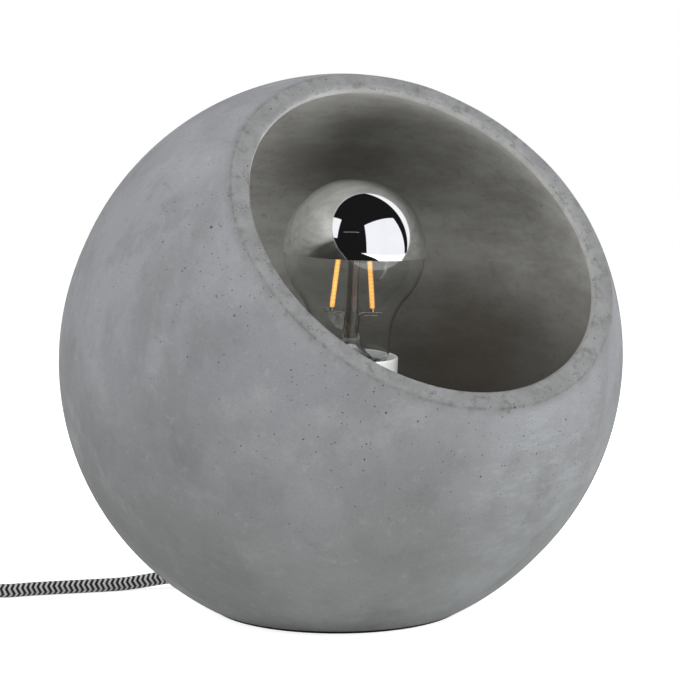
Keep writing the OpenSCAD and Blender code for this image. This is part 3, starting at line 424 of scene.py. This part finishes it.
def block(name, low, high, place=Matrix()):
    low, high = Vector(low) / 1000, Vector(high) / 1000
    bm = bmesh.new()
    size = Matrix.Diagonal((*(high - low), 1))
    bmesh.ops.create_cube(bm, size=1, matrix=Matrix.Translation((low + high) / 2) @ size)
    return piece(name, bm, place)


def carve(obj, tool, operation):
    change = obj.modifiers.new("cut", "BOOLEAN")
    change.operation = operation
    change.solver = "EXACT"
    change.object = tool
    mesh = bpy.data.meshes.new_from_object(obj.evaluated_get(bpy.context.evaluated_depsgraph_get()))
    obj.modifiers.clear()
    obj.data = mesh
    bpy.data.objects.remove(tool)


underside = 1.5
globe_r, hollow_r, belt_half = 118, 110.5, 3
globe_centre = Vector((0, 0, 0.107))
mouth_tilt, stem_lean, cord_heading = 38, 4.7, 40
mouth_axis = Vector((0, -math.cos(math.radians(mouth_tilt)), math.sin(math.radians(mouth_tilt))))
mouth = Matrix.Translation(globe_centre) @ Matrix.Rotation(math.radians(90 - mouth_tilt), 4, "X")
stem = Matrix.Translation((0, 0, underside / 1000)) @ Matrix.Rotation(math.radians(stem_lean), 4, "X")
cordway = Matrix.Rotation(math.radians(cord_heading), 4, "Z")

# the lip leaves the outer ball and meets the hollow at these angles
lip_outer, lip_inner = 46.4, 47.64
back, front = (0, -belt_half), (0, belt_half)
globe = turned("globe", (
    arc(back, globe_r, -90, 0, 60) + arc(front, globe_r, 0, lip_outer, 34)
    + arc((80.0, 87.0), 2.0, lip_outer, 90, 5, 1) + arc((76.14, 86.5), 2.5, 90, 180 + lip_inner, 12)
    + arc(front, hollow_r, lip_inner, 0, 34, 1) + arc(back, hollow_r, 0, -90, 60)), mouth, 240)

# the lip is rubbed by hand, so it wanders in and out a little
lip_height, lip_reach, lip_wear, wear_scale = 0.087, 0.006, 0.00022, 55
for corner in globe.data.vertices:
    away = corner.co - globe_centre
    near = max(0.0, 1 - abs(away.dot(mouth_axis) - lip_height) / lip_reach)
    corner.co += away.normalized() * near * lip_wear * noise.noise(corner.co * wear_scale)

# the cast floor fills the hollow's bottom and stands into the wall; the seat rises from it round the stem
floor_top, in_wall = 26.5, 114.25
seat_r, seat_top, seat_round = 17.0, 28, 1.2
ball = arc(back, in_wall, -90, 0, 60) + arc(front, in_wall, 0, 90, 60)
floor_ball = turned("floor_ball", ball, mouth, 160)
carve(floor_ball, block("floor_slab", (-130, -130, -20), (130, 130, floor_top)), "INTERSECT")
carve(globe, floor_ball, "UNION")
seat = [(0, 10), (seat_r, 10)] + arc((seat_r - seat_round, seat_top - seat_round), seat_round, 0, 90, 5)
carve(globe, turned("seat", seat + [(0, seat_top)], stem), "UNION")

# what is cut away: all below the underside, the wiring chamber, the cover's recess, the stem's bore and
# washer face, and the cord's channel with its slot
open_end = 1
chamber_r, chamber_top, recess_r, recess_top = 34, 16.5, 44.9, 3.0
bore_r, washer_face_r, washer_face_top = 5.2, 10.01, 16.2
channel_r, channel_height, channel_start = 5.4, 6, 33.9
carve(globe, block("table", (-200, -200, -60), (200, 200, underside)), "DIFFERENCE")
carve(globe, rod("chamber", (0, 0, open_end), (0, 0, chamber_top), chamber_r), "DIFFERENCE")
carve(globe, rod("recess", (0, 0, open_end), (0, 0, recess_top), recess_r, 128), "DIFFERENCE")
carve(globe, turned("stem_bore", [(0, -2), (bore_r, -2), (bore_r, 30), (0, 30)], stem, 64), "DIFFERENCE")
washer_face = [(0, 9), (washer_face_r, 9), (washer_face_r, washer_face_top), (0, washer_face_top)]
carve(globe, turned("washer_face", washer_face, stem, 64), "DIFFERENCE")
channel_in = cordway @ Vector((0, channel_start, channel_height))
channel_out = cordway @ Vector((0, globe_r, channel_height))
carve(globe, rod("channel", channel_in, channel_out, channel_r), "DIFFERENCE")
slot_in, slot_out = (-channel_r, channel_start, open_end), (channel_r, globe_r, channel_height)
carve(globe, block("slot", slot_in, slot_out, cordway), "DIFFERENCE")
globe.data.name = "globe"
globe.data.shade_smooth()
globe.data.set_sharp_from_angle(angle=math.radians(30))


def clouds(tree, spot, scale, detail, rough=0.55):
    return add(tree, "TexNoise", {
        "Vector": spot, "Scale": scale, "Detail": detail, "Roughness": rough}).outputs[0]


def stretched(tree, spot, scale, rotation=(0, 0, 0)):
    return add(tree, "Mapping", {"Vector": spot, "Scale": scale, "Rotation": rotation}).outputs[0]


def distance(tree, spot, place):
    return add(tree, "VectorMath", {0: spot, 1: place}, operation="DISTANCE").outputs["Value"]


# lays a shade over a colour where a pattern runs from start to full, at the given share
def stain(tree, colour, shade, pattern, start, full, share):
    return blend(tree, calc(tree, "MULTIPLY", step(tree, pattern, start, full), share), colour, shade)


# the outer skin: grey clouds, a little bluer higher up, with runs and with dark and pale flecks
def skin_colour(tree, spot, level, mid, fine):
    higher = step(tree, level, 0.02, 0.13)
    pale = blend(tree, higher, tone(154, 157, 157), tone(156, 158, 162))
    deep = blend(tree, higher, tone(134, 136, 135), tone(140, 141, 144))
    colour = blend(tree, step(tree, clouds(tree, spot, 9.0, 5.0, 0.6), 0.36, 0.66), deep, pale)
    runs = clouds(tree, stretched(tree, spot, (1, 1, 0.22), (0.12, 0.1, 0.3)), 42.0, 5.0, 0.6)
    for shade, pattern, start, full, share in (
        (tone(129, 130, 130), runs, 0.50, 0.74, 0.55),
        (tone(168, 170, 172), mid, 0.52, 0.68, 0.40),
        (tone(124, 125, 125), mid, 0.46, 0.32, 0.35),
        (tone(116, 116, 114), fine, 0.56, 0.72, 0.22),
        (tone(184, 185, 187), fine, 0.44, 0.30, 0.20),
    ):
        colour = stain(tree, colour, shade, pattern, start, full, share)
    return colour


# a pale bloom on the skin, low at the front
def bloom(tree, spot):
    near = step(tree, distance(tree, spot, (0.0300, -0.1060, 0.0660)), 0.056, 0.012)
    lines = clouds(tree, stretched(tree, spot, (0.7, 0.7, 2.2)), 60.0, 5.0, 0.75)
    return calc(tree, "MULTIPLY", near, step(tree, lines, 0.42, 0.68))


# the hollow: warmer, in level bands, with a brown patch on the right and darker towards the bottom
def hollow_colour(tree, spot, level, mid, fine):
    bands = clouds(tree, stretched(tree, spot, (1, 1, 3.4)), 26.0, 7.0, 0.68)
    colour = blend(tree, step(tree, bands, 0.34, 0.66), tone(140, 139, 135), tone(160, 160, 156))
    colour = stain(tree, colour, tone(108, 105, 97), fine, 0.55, 0.7, 0.35)
    # the brown patch on the right is part stain and part painted shade of the lower hollow
    right_patch_stain_and_shade = calc(tree, "MULTIPLY_ADD", mid, 0.04, distance(tree, spot, (0.0995, 0.046, 0.104)))
    colour = stain(tree, colour, tone(92, 84, 72), right_patch_stain_and_shade, 0.078, 0.036, 0.55)
    # the darkening towards the bottom is part darker concrete and part painted shade
    return stain(tree, colour, tone(78, 73, 66), level, 0.150, 0.092, 0.70)


def lip_colour(tree, spot, fine):
    patches = step(tree, clouds(tree, spot, 90.0, 6.0, 0.7), 0.3, 0.7)
    colour = blend(tree, patches, tone(129, 130, 130), tone(147, 148, 149))
    return stain(tree, colour, tone(98, 97, 92), fine, 0.52, 0.66, 0.5)


# air holes: some cells of a pattern hold one, more of them near the lip
def pits(tree, spot, near_lip, scale, share, size, more):
    cell = add(tree, "TexVoronoi", {"Vector": spot, "Scale": scale, "Randomness": 1.0})
    chance = add(tree, "SeparateColor", {0: cell.outputs["Color"]})
    chosen = calc(tree, "LESS_THAN", chance.outputs[0], calc(tree, "MULTIPLY_ADD", near_lip, more, share))
    reach = calc(tree, "MULTIPLY_ADD", chance.outputs[1], size, 0.06)
    hole = step(tree, cell.outputs["Distance"], reach, calc(tree, "MULTIPLY", reach, 0.45))
    return calc(tree, "MULTIPLY", hole, chosen)


def concrete(tree):
    spot = add(tree, "TexCoord").outputs["Object"]
    level = add(tree, "SeparateXYZ", {0: spot}).outputs[2]
    from_centre = add(tree, "VectorMath", {0: spot, 1: globe_centre}, operation="SUBTRACT").outputs[0]
    out = add(tree, "VectorMath", {0: from_centre}, operation="LENGTH").outputs["Value"]
    up = add(tree, "VectorMath", {0: from_centre, 1: mouth_axis}, operation="DOT_PRODUCT").outputs["Value"]
    mid = clouds(tree, spot, 34.0, 6.0, 0.62)
    fine = clouds(tree, spot, 210.0, 6.0, 0.7)
    grain = clouds(tree, spot, 1500.0, 3.0, 0.6)

    colour = blend(tree, step(tree, out, 0.1170, 0.1145), skin_colour(tree, spot, level, mid, fine),
                   hollow_colour(tree, spot, level, mid, fine))
    colour = blend(tree, step(tree, up, 0.0852, 0.0888), colour, lip_colour(tree, spot, fine))
    seam_height = calc(tree, "MULTIPLY_ADD", mid, 0.0006, 0.0879)
    seam = calc(tree, "ABSOLUTE", calc(tree, "SUBTRACT", up, seam_height))
    seam = calc(tree, "MULTIPLY", step(tree, seam, 0.00055, 0.0001), step(tree, fine, 0.38, 0.56))
    colour = blend(tree, calc(tree, "MULTIPLY", seam, 0.28), colour, tone(84, 83, 78))
    colour = blend(tree, calc(tree, "MULTIPLY", bloom(tree, spot), 0.32), colour, tone(186, 191, 196))

    near_lip = step(tree, up, 0.030, 0.088)
    holes = calc(tree, "MAXIMUM", pits(tree, spot, near_lip, 170.0, 0.006, 0.07, 0.05),
                 pits(tree, spot, near_lip, 360.0, 0.014, 0.14, 0.13))
    holes = calc(tree, "MAXIMUM", holes, pits(tree, spot, near_lip, 720.0, 0.03, 0.22, 0.34))
    colour = blend(tree, 1.0, colour, calc(tree, "MULTIPLY_ADD", grain, 0.30, 0.85), "MULTIPLY")
    # the air holes are painted dark, a painted shade inside each hole
    colour = blend(tree, calc(tree, "MULTIPLY", holes, 0.82), colour, tone(52, 51, 48))
    height = calc(tree, "MULTIPLY", fine, 0.00022)
    height = calc(tree, "MULTIPLY_ADD", grain, 0.00007, height)
    height = calc(tree, "MULTIPLY_ADD", mid, 0.0005, height)
    height = calc(tree, "MULTIPLY_ADD", holes, -0.0006, height)
    bump = add(tree, "Bump", {"Strength": 0.55, "Distance": 1.0, "Height": height})
    rough = calc(tree, "MULTIPLY_ADD", fine, 0.25, 0.68)
    return add(tree, "BsdfPrincipled", {
        "Base Color": colour, "Roughness": rough, "Specular IOR Level": 0.28,
        "Normal": bump.outputs[0]}).outputs[0]


globe.data.materials.append(finish("cast_concrete", concrete))
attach(globe, "root")
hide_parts("concrete_globe")


# Metal fittings: threaded stem, washers, nuts and spacer tube in zinc-plated steel, and brass inserts,
# terminals, screw shell and contacts. They are turned or stamped, and lightly brushed. The nuts clamp the
# stem to the globe's floor.
brushing = 900.0


def darker(shade, share):
    return tuple(share * c for c in shade[:3]) + (1,)


def metal(base, rough):
    def surface(tree):
        spot = add(tree, "TexCoord").outputs["Object"]
        lines = add(tree, "TexNoise", {
            "Vector": stretched(tree, spot, (1, 1, 14)), "Scale": brushing, "Detail": 4.0}).outputs[0]
        haze = add(tree, "TexNoise", {"Vector": spot, "Scale": 120.0, "Detail": 3.0}).outputs[0]
        colour = blend(tree, haze, darker(base, 0.82), base)
        bump = add(tree, "Bump", {"Strength": 0.25, "Distance": 0.00005, "Height": lines})
        return add(tree, "BsdfPrincipled", {
            "Base Color": colour, "Metallic": 1.0,
            "Roughness": calc(tree, "MULTIPLY_ADD", lines, 0.18, rough),
            "Normal": bump.outputs[0]}).outputs[0]
    return surface


def dress(material, *names):
    for name in names:
        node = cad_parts[name]
        node.data.materials.clear()
        node.data.materials.append(material)


zinc = finish("zinc_plate", metal(tone(205, 208, 212), 0.22))
brass = finish("brass", metal(tone(214, 176, 96), 0.2))
nickel = finish("nickel_plate", metal(tone(214, 208, 196), 0.16))
dress(zinc, "stem_tube", "lower_washer", "lower_nut", "upper_washer", "upper_nut", "spacer_tube",
      "terminal_screws", "rocker_pin")
dress(brass, "cover_inserts", "screw_shell", "centre_contact", "terminals", "switch_contacts")
dress(nickel, "cap_contact", "plug_pins")


# Screws: zinc-plated steel with pan heads and a cross recess cut into each. Three hold the base cover, two
# the cord clamp and two the switch's housing.
shank_r, head_high = 1.5, 1.3
slot_long, slot_wide, slot_floor, slot_open = 1.5, 0.3, 0.55, 1.5


def screw(name, foot, axis, shank):
    place = Matrix.Translation(foot) @ Vector(axis).to_track_quat("Z", "Y").to_matrix().to_4x4()
    pan_head = [(0, -head_high)] + arc((shank_r, 0.0), head_high, 270, 360, 6) + [(shank_r + head_high, 0)]
    pointed = [(shank_r, 0), (shank_r, shank - 0.4), (1.1, shank), (0, shank)]
    head = turned(name, pan_head + pointed, place, 40)
    for turned_by in (0, 90):
        cross = Matrix.Rotation(math.radians(turned_by), 4, "Z")
        low, high = (-slot_long, -slot_wide, -slot_open), (slot_long, slot_wide, -slot_floor)
        carve(head, block(name + "_slot", low, high, place @ cross), "DIFFERENCE")
    head.data.materials.append(zinc)
    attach(head, "root")
    return head


cover_screw_ring = 0.03945
seat_height, switch_seat_height = 0.0018, 0.0026
upwards = (0, 0, 1)
for i in range(3):
    third = cordway @ Matrix.Rotation(math.radians(60 + 120 * i), 4, "Z")
    foot = third @ Vector((0, cover_screw_ring, seat_height))
    screw("cover_screw_" + str(i + 1), foot, upwards, 8)
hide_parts("cover_screws")
clamp_screws = [screw("clamp_screw_" + word, cordway @ Vector((x, 0.022, seat_height)), upwards, 8.4)
                for word, x in (("left", -0.008), ("right", 0.008))]
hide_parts("clamp_screws")
switch_screws = [
    screw("switch_screw_" + word, (switch_x + x, switch_y + y, switch_seat_height), upwards, 9.2)
    for word, x, y in (("near", -0.017, -0.0085), ("far", 0.017, 0.0085))]
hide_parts("switch_screws")


# Base cover and foot: a stamped steel plate, powder coated dark grey, screwed up under the wiring chamber,
# and a felt ring glued round it that keeps the concrete off the table.
def coated(base, rough, scale, depth):
    def surface(tree):
        spot = add(tree, "TexCoord").outputs["Object"]
        grain = clouds(tree, spot, scale, 5.0, 0.6)
        haze = add(tree, "TexNoise", {"Vector": spot, "Scale": scale / 14, "Detail": 3.0}).outputs[0]
        colour = blend(tree, haze, darker(base, 0.86), base)
        bump = add(tree, "Bump", {"Strength": 0.35, "Distance": depth, "Height": grain})
        return add(tree, "BsdfPrincipled", {
            "Base Color": colour, "Roughness": calc(tree, "MULTIPLY_ADD", grain, 0.16, rough),
            "Normal": bump.outputs[0]}).outputs[0]
    return surface


dress(finish("dark_powder_coat", coated(tone(66, 66, 70), 0.48, 1400.0, 0.0002)), "base_cover")
dress(finish("felt", coated(tone(44, 44, 47), 0.85, 1900.0, 0.0008)), "foot_pad")


# Cord hardware: a soft rubber bush lines the hole where the cord leaves the globe, a white nylon clamp
# takes the pull, and a woven strap holds the coil. The plug's ribbed sleeve is the same rubber as the bush.
dress(finish("black_rubber", coated(tone(28, 28, 29), 0.55, 1300.0, 0.0001)), "cord_bush", "plug_sleeve")
dress(finish("white_nylon", coated(tone(222, 221, 216), 0.45, 900.0, 0.0001)), "cord_clamp")
dress(finish("tie_strap", coated(tone(34, 34, 36), 0.8, 2200.0, 0.0006)), "cord_tie")


# Switch and plug: both moulded in fine-grained black plastic. The switch has two housing halves and a
# rocker between them, and the plug a flat body and an insulating sleeve on each pin.
dress(finish("black_plastic", coated(tone(30, 30, 31), 0.36, 2600.0, 0.00012)),
      "switch_lower", "switch_upper", "switch_rocker", "plug_body", "pin_sleeves")


# Leads and core: two insulated wires, brown and blue, run from the clamp up the stem to the terminals of
# the glazed ceramic core that carries the screw shell.
dress(finish("brown_insulation", coated(tone(98, 62, 40), 0.4, 900.0, 0.0001)), "lead_live")
dress(finish("blue_insulation", coated(tone(44, 86, 160), 0.4, 900.0, 0.0001)), "lead_neutral")
dress(finish("ceramic", coated(tone(226, 222, 212), 0.5, 700.0, 0.0001)), "holder_core")


# Lampholder: a cap seated on the spacer tube, and a skirt with a thin rounded rim that grips the ceramic
# core. Both are thin shells, moulded in white plastic, coloured light grey: part greyish white and part
# painted shade.
white_shell_painted_shade = finish("white_moulding", coated(tone(200, 202, 202), 0.26, 1200.0, 0.00006))
shell_r, skirt_bore, core_bore, stem_hole = 20.3, 19.0, 17.3, 5.0
cap_foot, cap_top, skirt_foot, skirt_top = 44.0, 67.0, 62.0, 106.9
holder_cap = turned("holder_cap_shell", (
    [(stem_hole, cap_foot)] + arc((8.7, 44.8), 0.8, -90, 0, 5) + [(9.5, 49.2), (9.9, 50.0)]
    + arc((18.9, 57.9), 1.4, -38, 0, 5)
    + [(shell_r, 61.95), (18.8, 61.95), (18.8, 66.7), (18.5, cap_top), (core_bore, cap_top),
       (core_bore, 58.5), (8.0, 51.5), (stem_hole, 51.5)]), stem, 128)
holder_skirt = turned("holder_skirt_shell", (
    arc((20.0, 62.3), 0.3, -90, 0, 3)
    + [(shell_r, 63.4), (20.05, 63.7), (shell_r, 64.0), (shell_r, skirt_top)]
    + arc((19.65, 106.95), 0.65, 0, 180, 10, 1)
    + [(skirt_bore, 73.7), (17.5, 73.7), (17.5, 72.2), (skirt_bore, 72.2), (skirt_bore, skirt_foot)]),
    stem, 160)
for shell, node in ((holder_cap, "holder_cap"), (holder_skirt, "holder_skirt")):
    shell.data.materials.append(white_shell_painted_shade)
    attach(shell, "root")
    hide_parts(node)


# Bulb glass: a blown clear envelope, 60 mm across, with a wall of 0.8 mm. Its ball runs through a flare
# into the neck, which is cemented into the cap.
bulb_centre, bulb_r, glass_wall = (0, 152), 30, 0.8
flare_centre, flare_r, flare_angle = (43.6, 115.28), 27, 40.07
neck_end, neck_round = (11.6, 109.3), 5.0


def clear(tint, roughness):
    def surface(tree):
        spot = add(tree, "TexCoord").outputs["Object"]
        waves = add(tree, "TexNoise", {"Vector": spot, "Scale": 60.0, "Detail": 1.0}).outputs[0]
        bump = add(tree, "Bump", {"Strength": 0.12, "Distance": 0.0002, "Height": waves})
        glass = add(tree, "BsdfPrincipled", {
            "Base Color": tint, "Roughness": roughness, "IOR": 1.5, "Transmission Weight": 1.0,
            "Normal": bump.outputs[0]})
        through = add(tree, "BsdfTransparent", {"Color": (0.93, 0.93, 0.93, 1)})
        shadow = add(tree, "LightPath").outputs["Is Shadow Ray"]
        return add(tree, "MixShader", {0: shadow, 1: glass.outputs[0], 2: through.outputs[0]}).outputs[0]
    return surface


bulb_outer = (arc(bulb_centre, bulb_r, 90, -flare_angle, 60)
              + arc(flare_centre, flare_r, 180 - flare_angle, 180, 20, 1)
              + arc(neck_end, neck_round, 0, -80, 8))
bulb_inner = (arc(neck_end, neck_round - glass_wall, -80, 0, 8)
              + arc(flare_centre, flare_r + glass_wall, 180, 180 - flare_angle, 20)
              + arc(bulb_centre, bulb_r - glass_wall, -flare_angle, 90, 60, 1))
envelope = turned("bulb_envelope", bulb_outer + bulb_inner, stem, 128)
envelope.data.materials.append(finish("bulb_clear_glass", clear((0.97, 0.98, 0.975, 1), 0.0)))
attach(envelope, "bulb")
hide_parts("bulb_glass")


# Mirror crown: a thin coat of silver over the upper half of the glass, which throws the light back into the
# globe. Its edge lies just below the ball's widest line.
silver_inner, silver_outer, crown_edge = 0.02, 0.16, 2.6


def silver(tree):
    spot = add(tree, "TexCoord").outputs["Object"]
    haze = add(tree, "TexNoise", {"Vector": spot, "Scale": 140.0, "Detail": 4.0}).outputs[0]
    bump = add(tree, "Bump", {"Strength": 0.05, "Distance": 0.0001, "Height": haze})
    return add(tree, "BsdfPrincipled", {
        "Base Color": blend(tree, haze, (0.84, 0.85, 0.86, 1), (0.93, 0.93, 0.94, 1)), "Metallic": 1.0,
        "Roughness": calc(tree, "MULTIPLY_ADD", haze, 0.03, 0.015), "Normal": bump.outputs[0]}).outputs[0]


crown = turned("silvered_crown", arc(bulb_centre, bulb_r + silver_outer, 90, -crown_edge, 44)
               + arc(bulb_centre, bulb_r + silver_inner, -crown_edge, 90, 44), stem, 128)
crown.data.materials.append(finish("mirror_silver", silver))
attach(crown, "bulb")
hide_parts("mirror_crown")


# Glass stem: a drawn glass rod that widens to a pinch and a flared foot, where it is fused to the bulb's
# neck inside the cap. It carries the wires of the filaments.
stem_r, stem_top, pinch_top = 2.4, 166, 126.5
glass_stem = turned("stem_glass", (
    [(0, stem_top)] + arc((0, stem_top - stem_r), stem_r, 90, 0, 8, 1)
    + [(stem_r, pinch_top), (2.9, 125.2), (3.3, 123.6), (3.3, 118.5), (3.6, 116.6)]
    + arc((13.0, 116.0), 9.2, 184, 238, 10)
    + [(9.6, 106.6), (10.9, 105.6), (10.9, 105.25), (10.1, 105.25), (9.0, 106.2)]
    + arc((12.8, 115.4), 9.9, 240, 190, 10) + [(2.4, 114.6), (0, 114.2)]), stem)
glass_stem.data.materials.append(finish("stem_clear_glass", clear((0.92, 0.93, 0.93, 1), 0.03)))
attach(glass_stem, "bulb")
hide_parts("glass_stem")


# Filaments: two rods of chips under amber phosphor, leaning apart beside the glass stem. Each ends in
# nickel tips on thin nickel wires, and three copper-coated wires run up inside the stem.
chips_per_metre = 620.0
filament_out, filament_foot, filament_lean, filament_turn = 0.0087, 0.1265, 5.5, -30
rod_long, tip_long = 37.0, 1.6
wire_r, stem_wire_r = 0.00042, 0.00022


def phosphor(tree):
    spot = add(tree, "TexCoord").outputs["Object"]
    up = add(tree, "SeparateXYZ", {0: spot}).outputs[2]
    chips = calc(tree, "PINGPONG", calc(tree, "MULTIPLY", up, chips_per_metre), 0.5)
    grain = add(tree, "TexNoise", {"Vector": spot, "Scale": 1800.0}).outputs[0]
    colour = blend(tree, step(tree, chips, 0.1, 0.4), tone(226, 164, 86), tone(238, 180, 104))
    height = calc(tree, "MULTIPLY_ADD", grain, 0.3, chips)
    bump = add(tree, "Bump", {"Strength": 0.3, "Distance": 0.0002, "Height": height})
    return add(tree, "BsdfPrincipled", {
        "Base Color": colour, "Roughness": 0.42, "Subsurface Weight": 0.25,
        "Subsurface Radius": (0.001, 0.0006, 0.0002), "Subsurface Scale": 1.0,
        "Normal": bump.outputs[0]}).outputs[0]


amber = finish("amber_phosphor", phosphor)
copper = finish("coated_copper", metal(tone(206, 150, 128), 0.3))

# the filaments stand side by side as seen from the camera
mount = stem @ Matrix.Rotation(math.radians(filament_turn), 4, "Z")
for side, word in ((-1, "left"), (1, "right")):
    out_and_up = Matrix.Translation((side * filament_out, 0, filament_foot))
    upright = mount @ out_and_up @ Matrix.Rotation(math.radians(-side * filament_lean), 4, "Y")
    rod_piece = turned("filament_" + word, [
        (0, 0), (0.75, 0), (0.75, tip_long), (1.05, 1.9), (1.1, 2.2), (1.1, 34.8), (1.05, 35.1),
        (0.75, rod_long - tip_long), (0.75, rod_long), (0, rod_long)], upright, 24)
    rod_piece.data.materials.append(amber)
    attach(rod_piece, "bulb")
    for end, foot in (("foot", -0.1), ("head", rod_long - tip_long)):
        tip = turned("filament_" + end + "_" + word, [
            (0, foot), (0.85, foot), (0.95, foot + 0.1), (0.95, foot + 1.5), (0.85, foot + tip_long),
            (0, foot + tip_long)], upright, 20)
        tip.data.materials.append(nickel)
        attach(tip, "bulb")
    low = [(side * 1.8, 0, 117.0), (side * 2.3, 0, 121.0), (side * 3.0, 0, 124.6), (side * 4.6, 0, 126.1),
           (side * 8.7, 0, 126.25), (side * 12.6, 0, 126.3)]
    top = [(side * 5.17, 0, 162.6), (side * 4.9, 0, 163.9), (side * 3.6, 0, 164.4), (side * 1.6, 0, 164.2)]
    tie = [(side * 5.4, 0, 124.9), (side * 8.0, 0, 125.1), (side * 10.8, 0, 125.0)]
    for end, route in (("low", low), ("top", top), ("tie", tie)):
        path = even([mount @ point for point in in_metres(route)], 0.0004)[0]
        wire = tube("wire_" + end + "_" + word, path, wire_r, 8)
        wire.data.materials.append(nickel)
        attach(wire, "bulb")
for end, route in (("stem_left", [(-0.9, 0, 115.5), (-0.9, 0, 119.5), (-1.8, 0, 122.0)]),
                   ("stem_right", [(0.9, 0, 115.5), (0.9, 0, 119.5), (1.8, 0, 122.0)]),
                   ("stem_centre", [(0, 0, 127.5), (0, 0, 145.0), (0, 0, 164.0)])):
    path = even([mount @ point for point in in_metres(route)], 0.001)[0]
    wire = tube("wire_" + end, path, stem_wire_r, 8)
    wire.data.materials.append(copper)
    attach(wire, "bulb")
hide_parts("filaments")
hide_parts("filament_wires")


# Bulb cap: a drawn and nickelled shell with a screw thread, shown as four plain rings at the thread's
# pitch. Inside it lie a black glass insulator and the driver's green circuit board.
thread_r, thread_deep, thread_foot, thread_pitch = 12.65, 0.45, 84.9, 3.63
ring_steps, rings = 12, 4
sleeve_r, sleeve_inside, sleeve_top = 13.1, 11.6, 105.1
thread = [(thread_r + thread_deep * math.cos(math.tau * i / ring_steps),
           thread_foot + thread_pitch * i / ring_steps)
          for i in range(rings * ring_steps + 1)]
cap = turned("cap_thread", (
    arc((10.9, 84.2), 0.8, 180, 270, 3) + arc((11.9, 84.2), 0.6, 270, 360, 3) + thread
    + [(sleeve_r, 100.2), (sleeve_r, 104.9), (12.6, sleeve_top), (sleeve_inside, sleeve_top),
       (sleeve_inside, 84.6), (10.4, 84.6)]), stem)
cap.data.materials.append(nickel)
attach(cap, "bulb")
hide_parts("bulb_cap")
dress(finish("black_glass", coated(tone(22, 22, 24), 0.12, 500.0, 0.00005)), "cap_insulator")
dress(finish("circuit_board", coated(tone(40, 104, 62), 0.4, 800.0, 0.0001)), "driver_board")
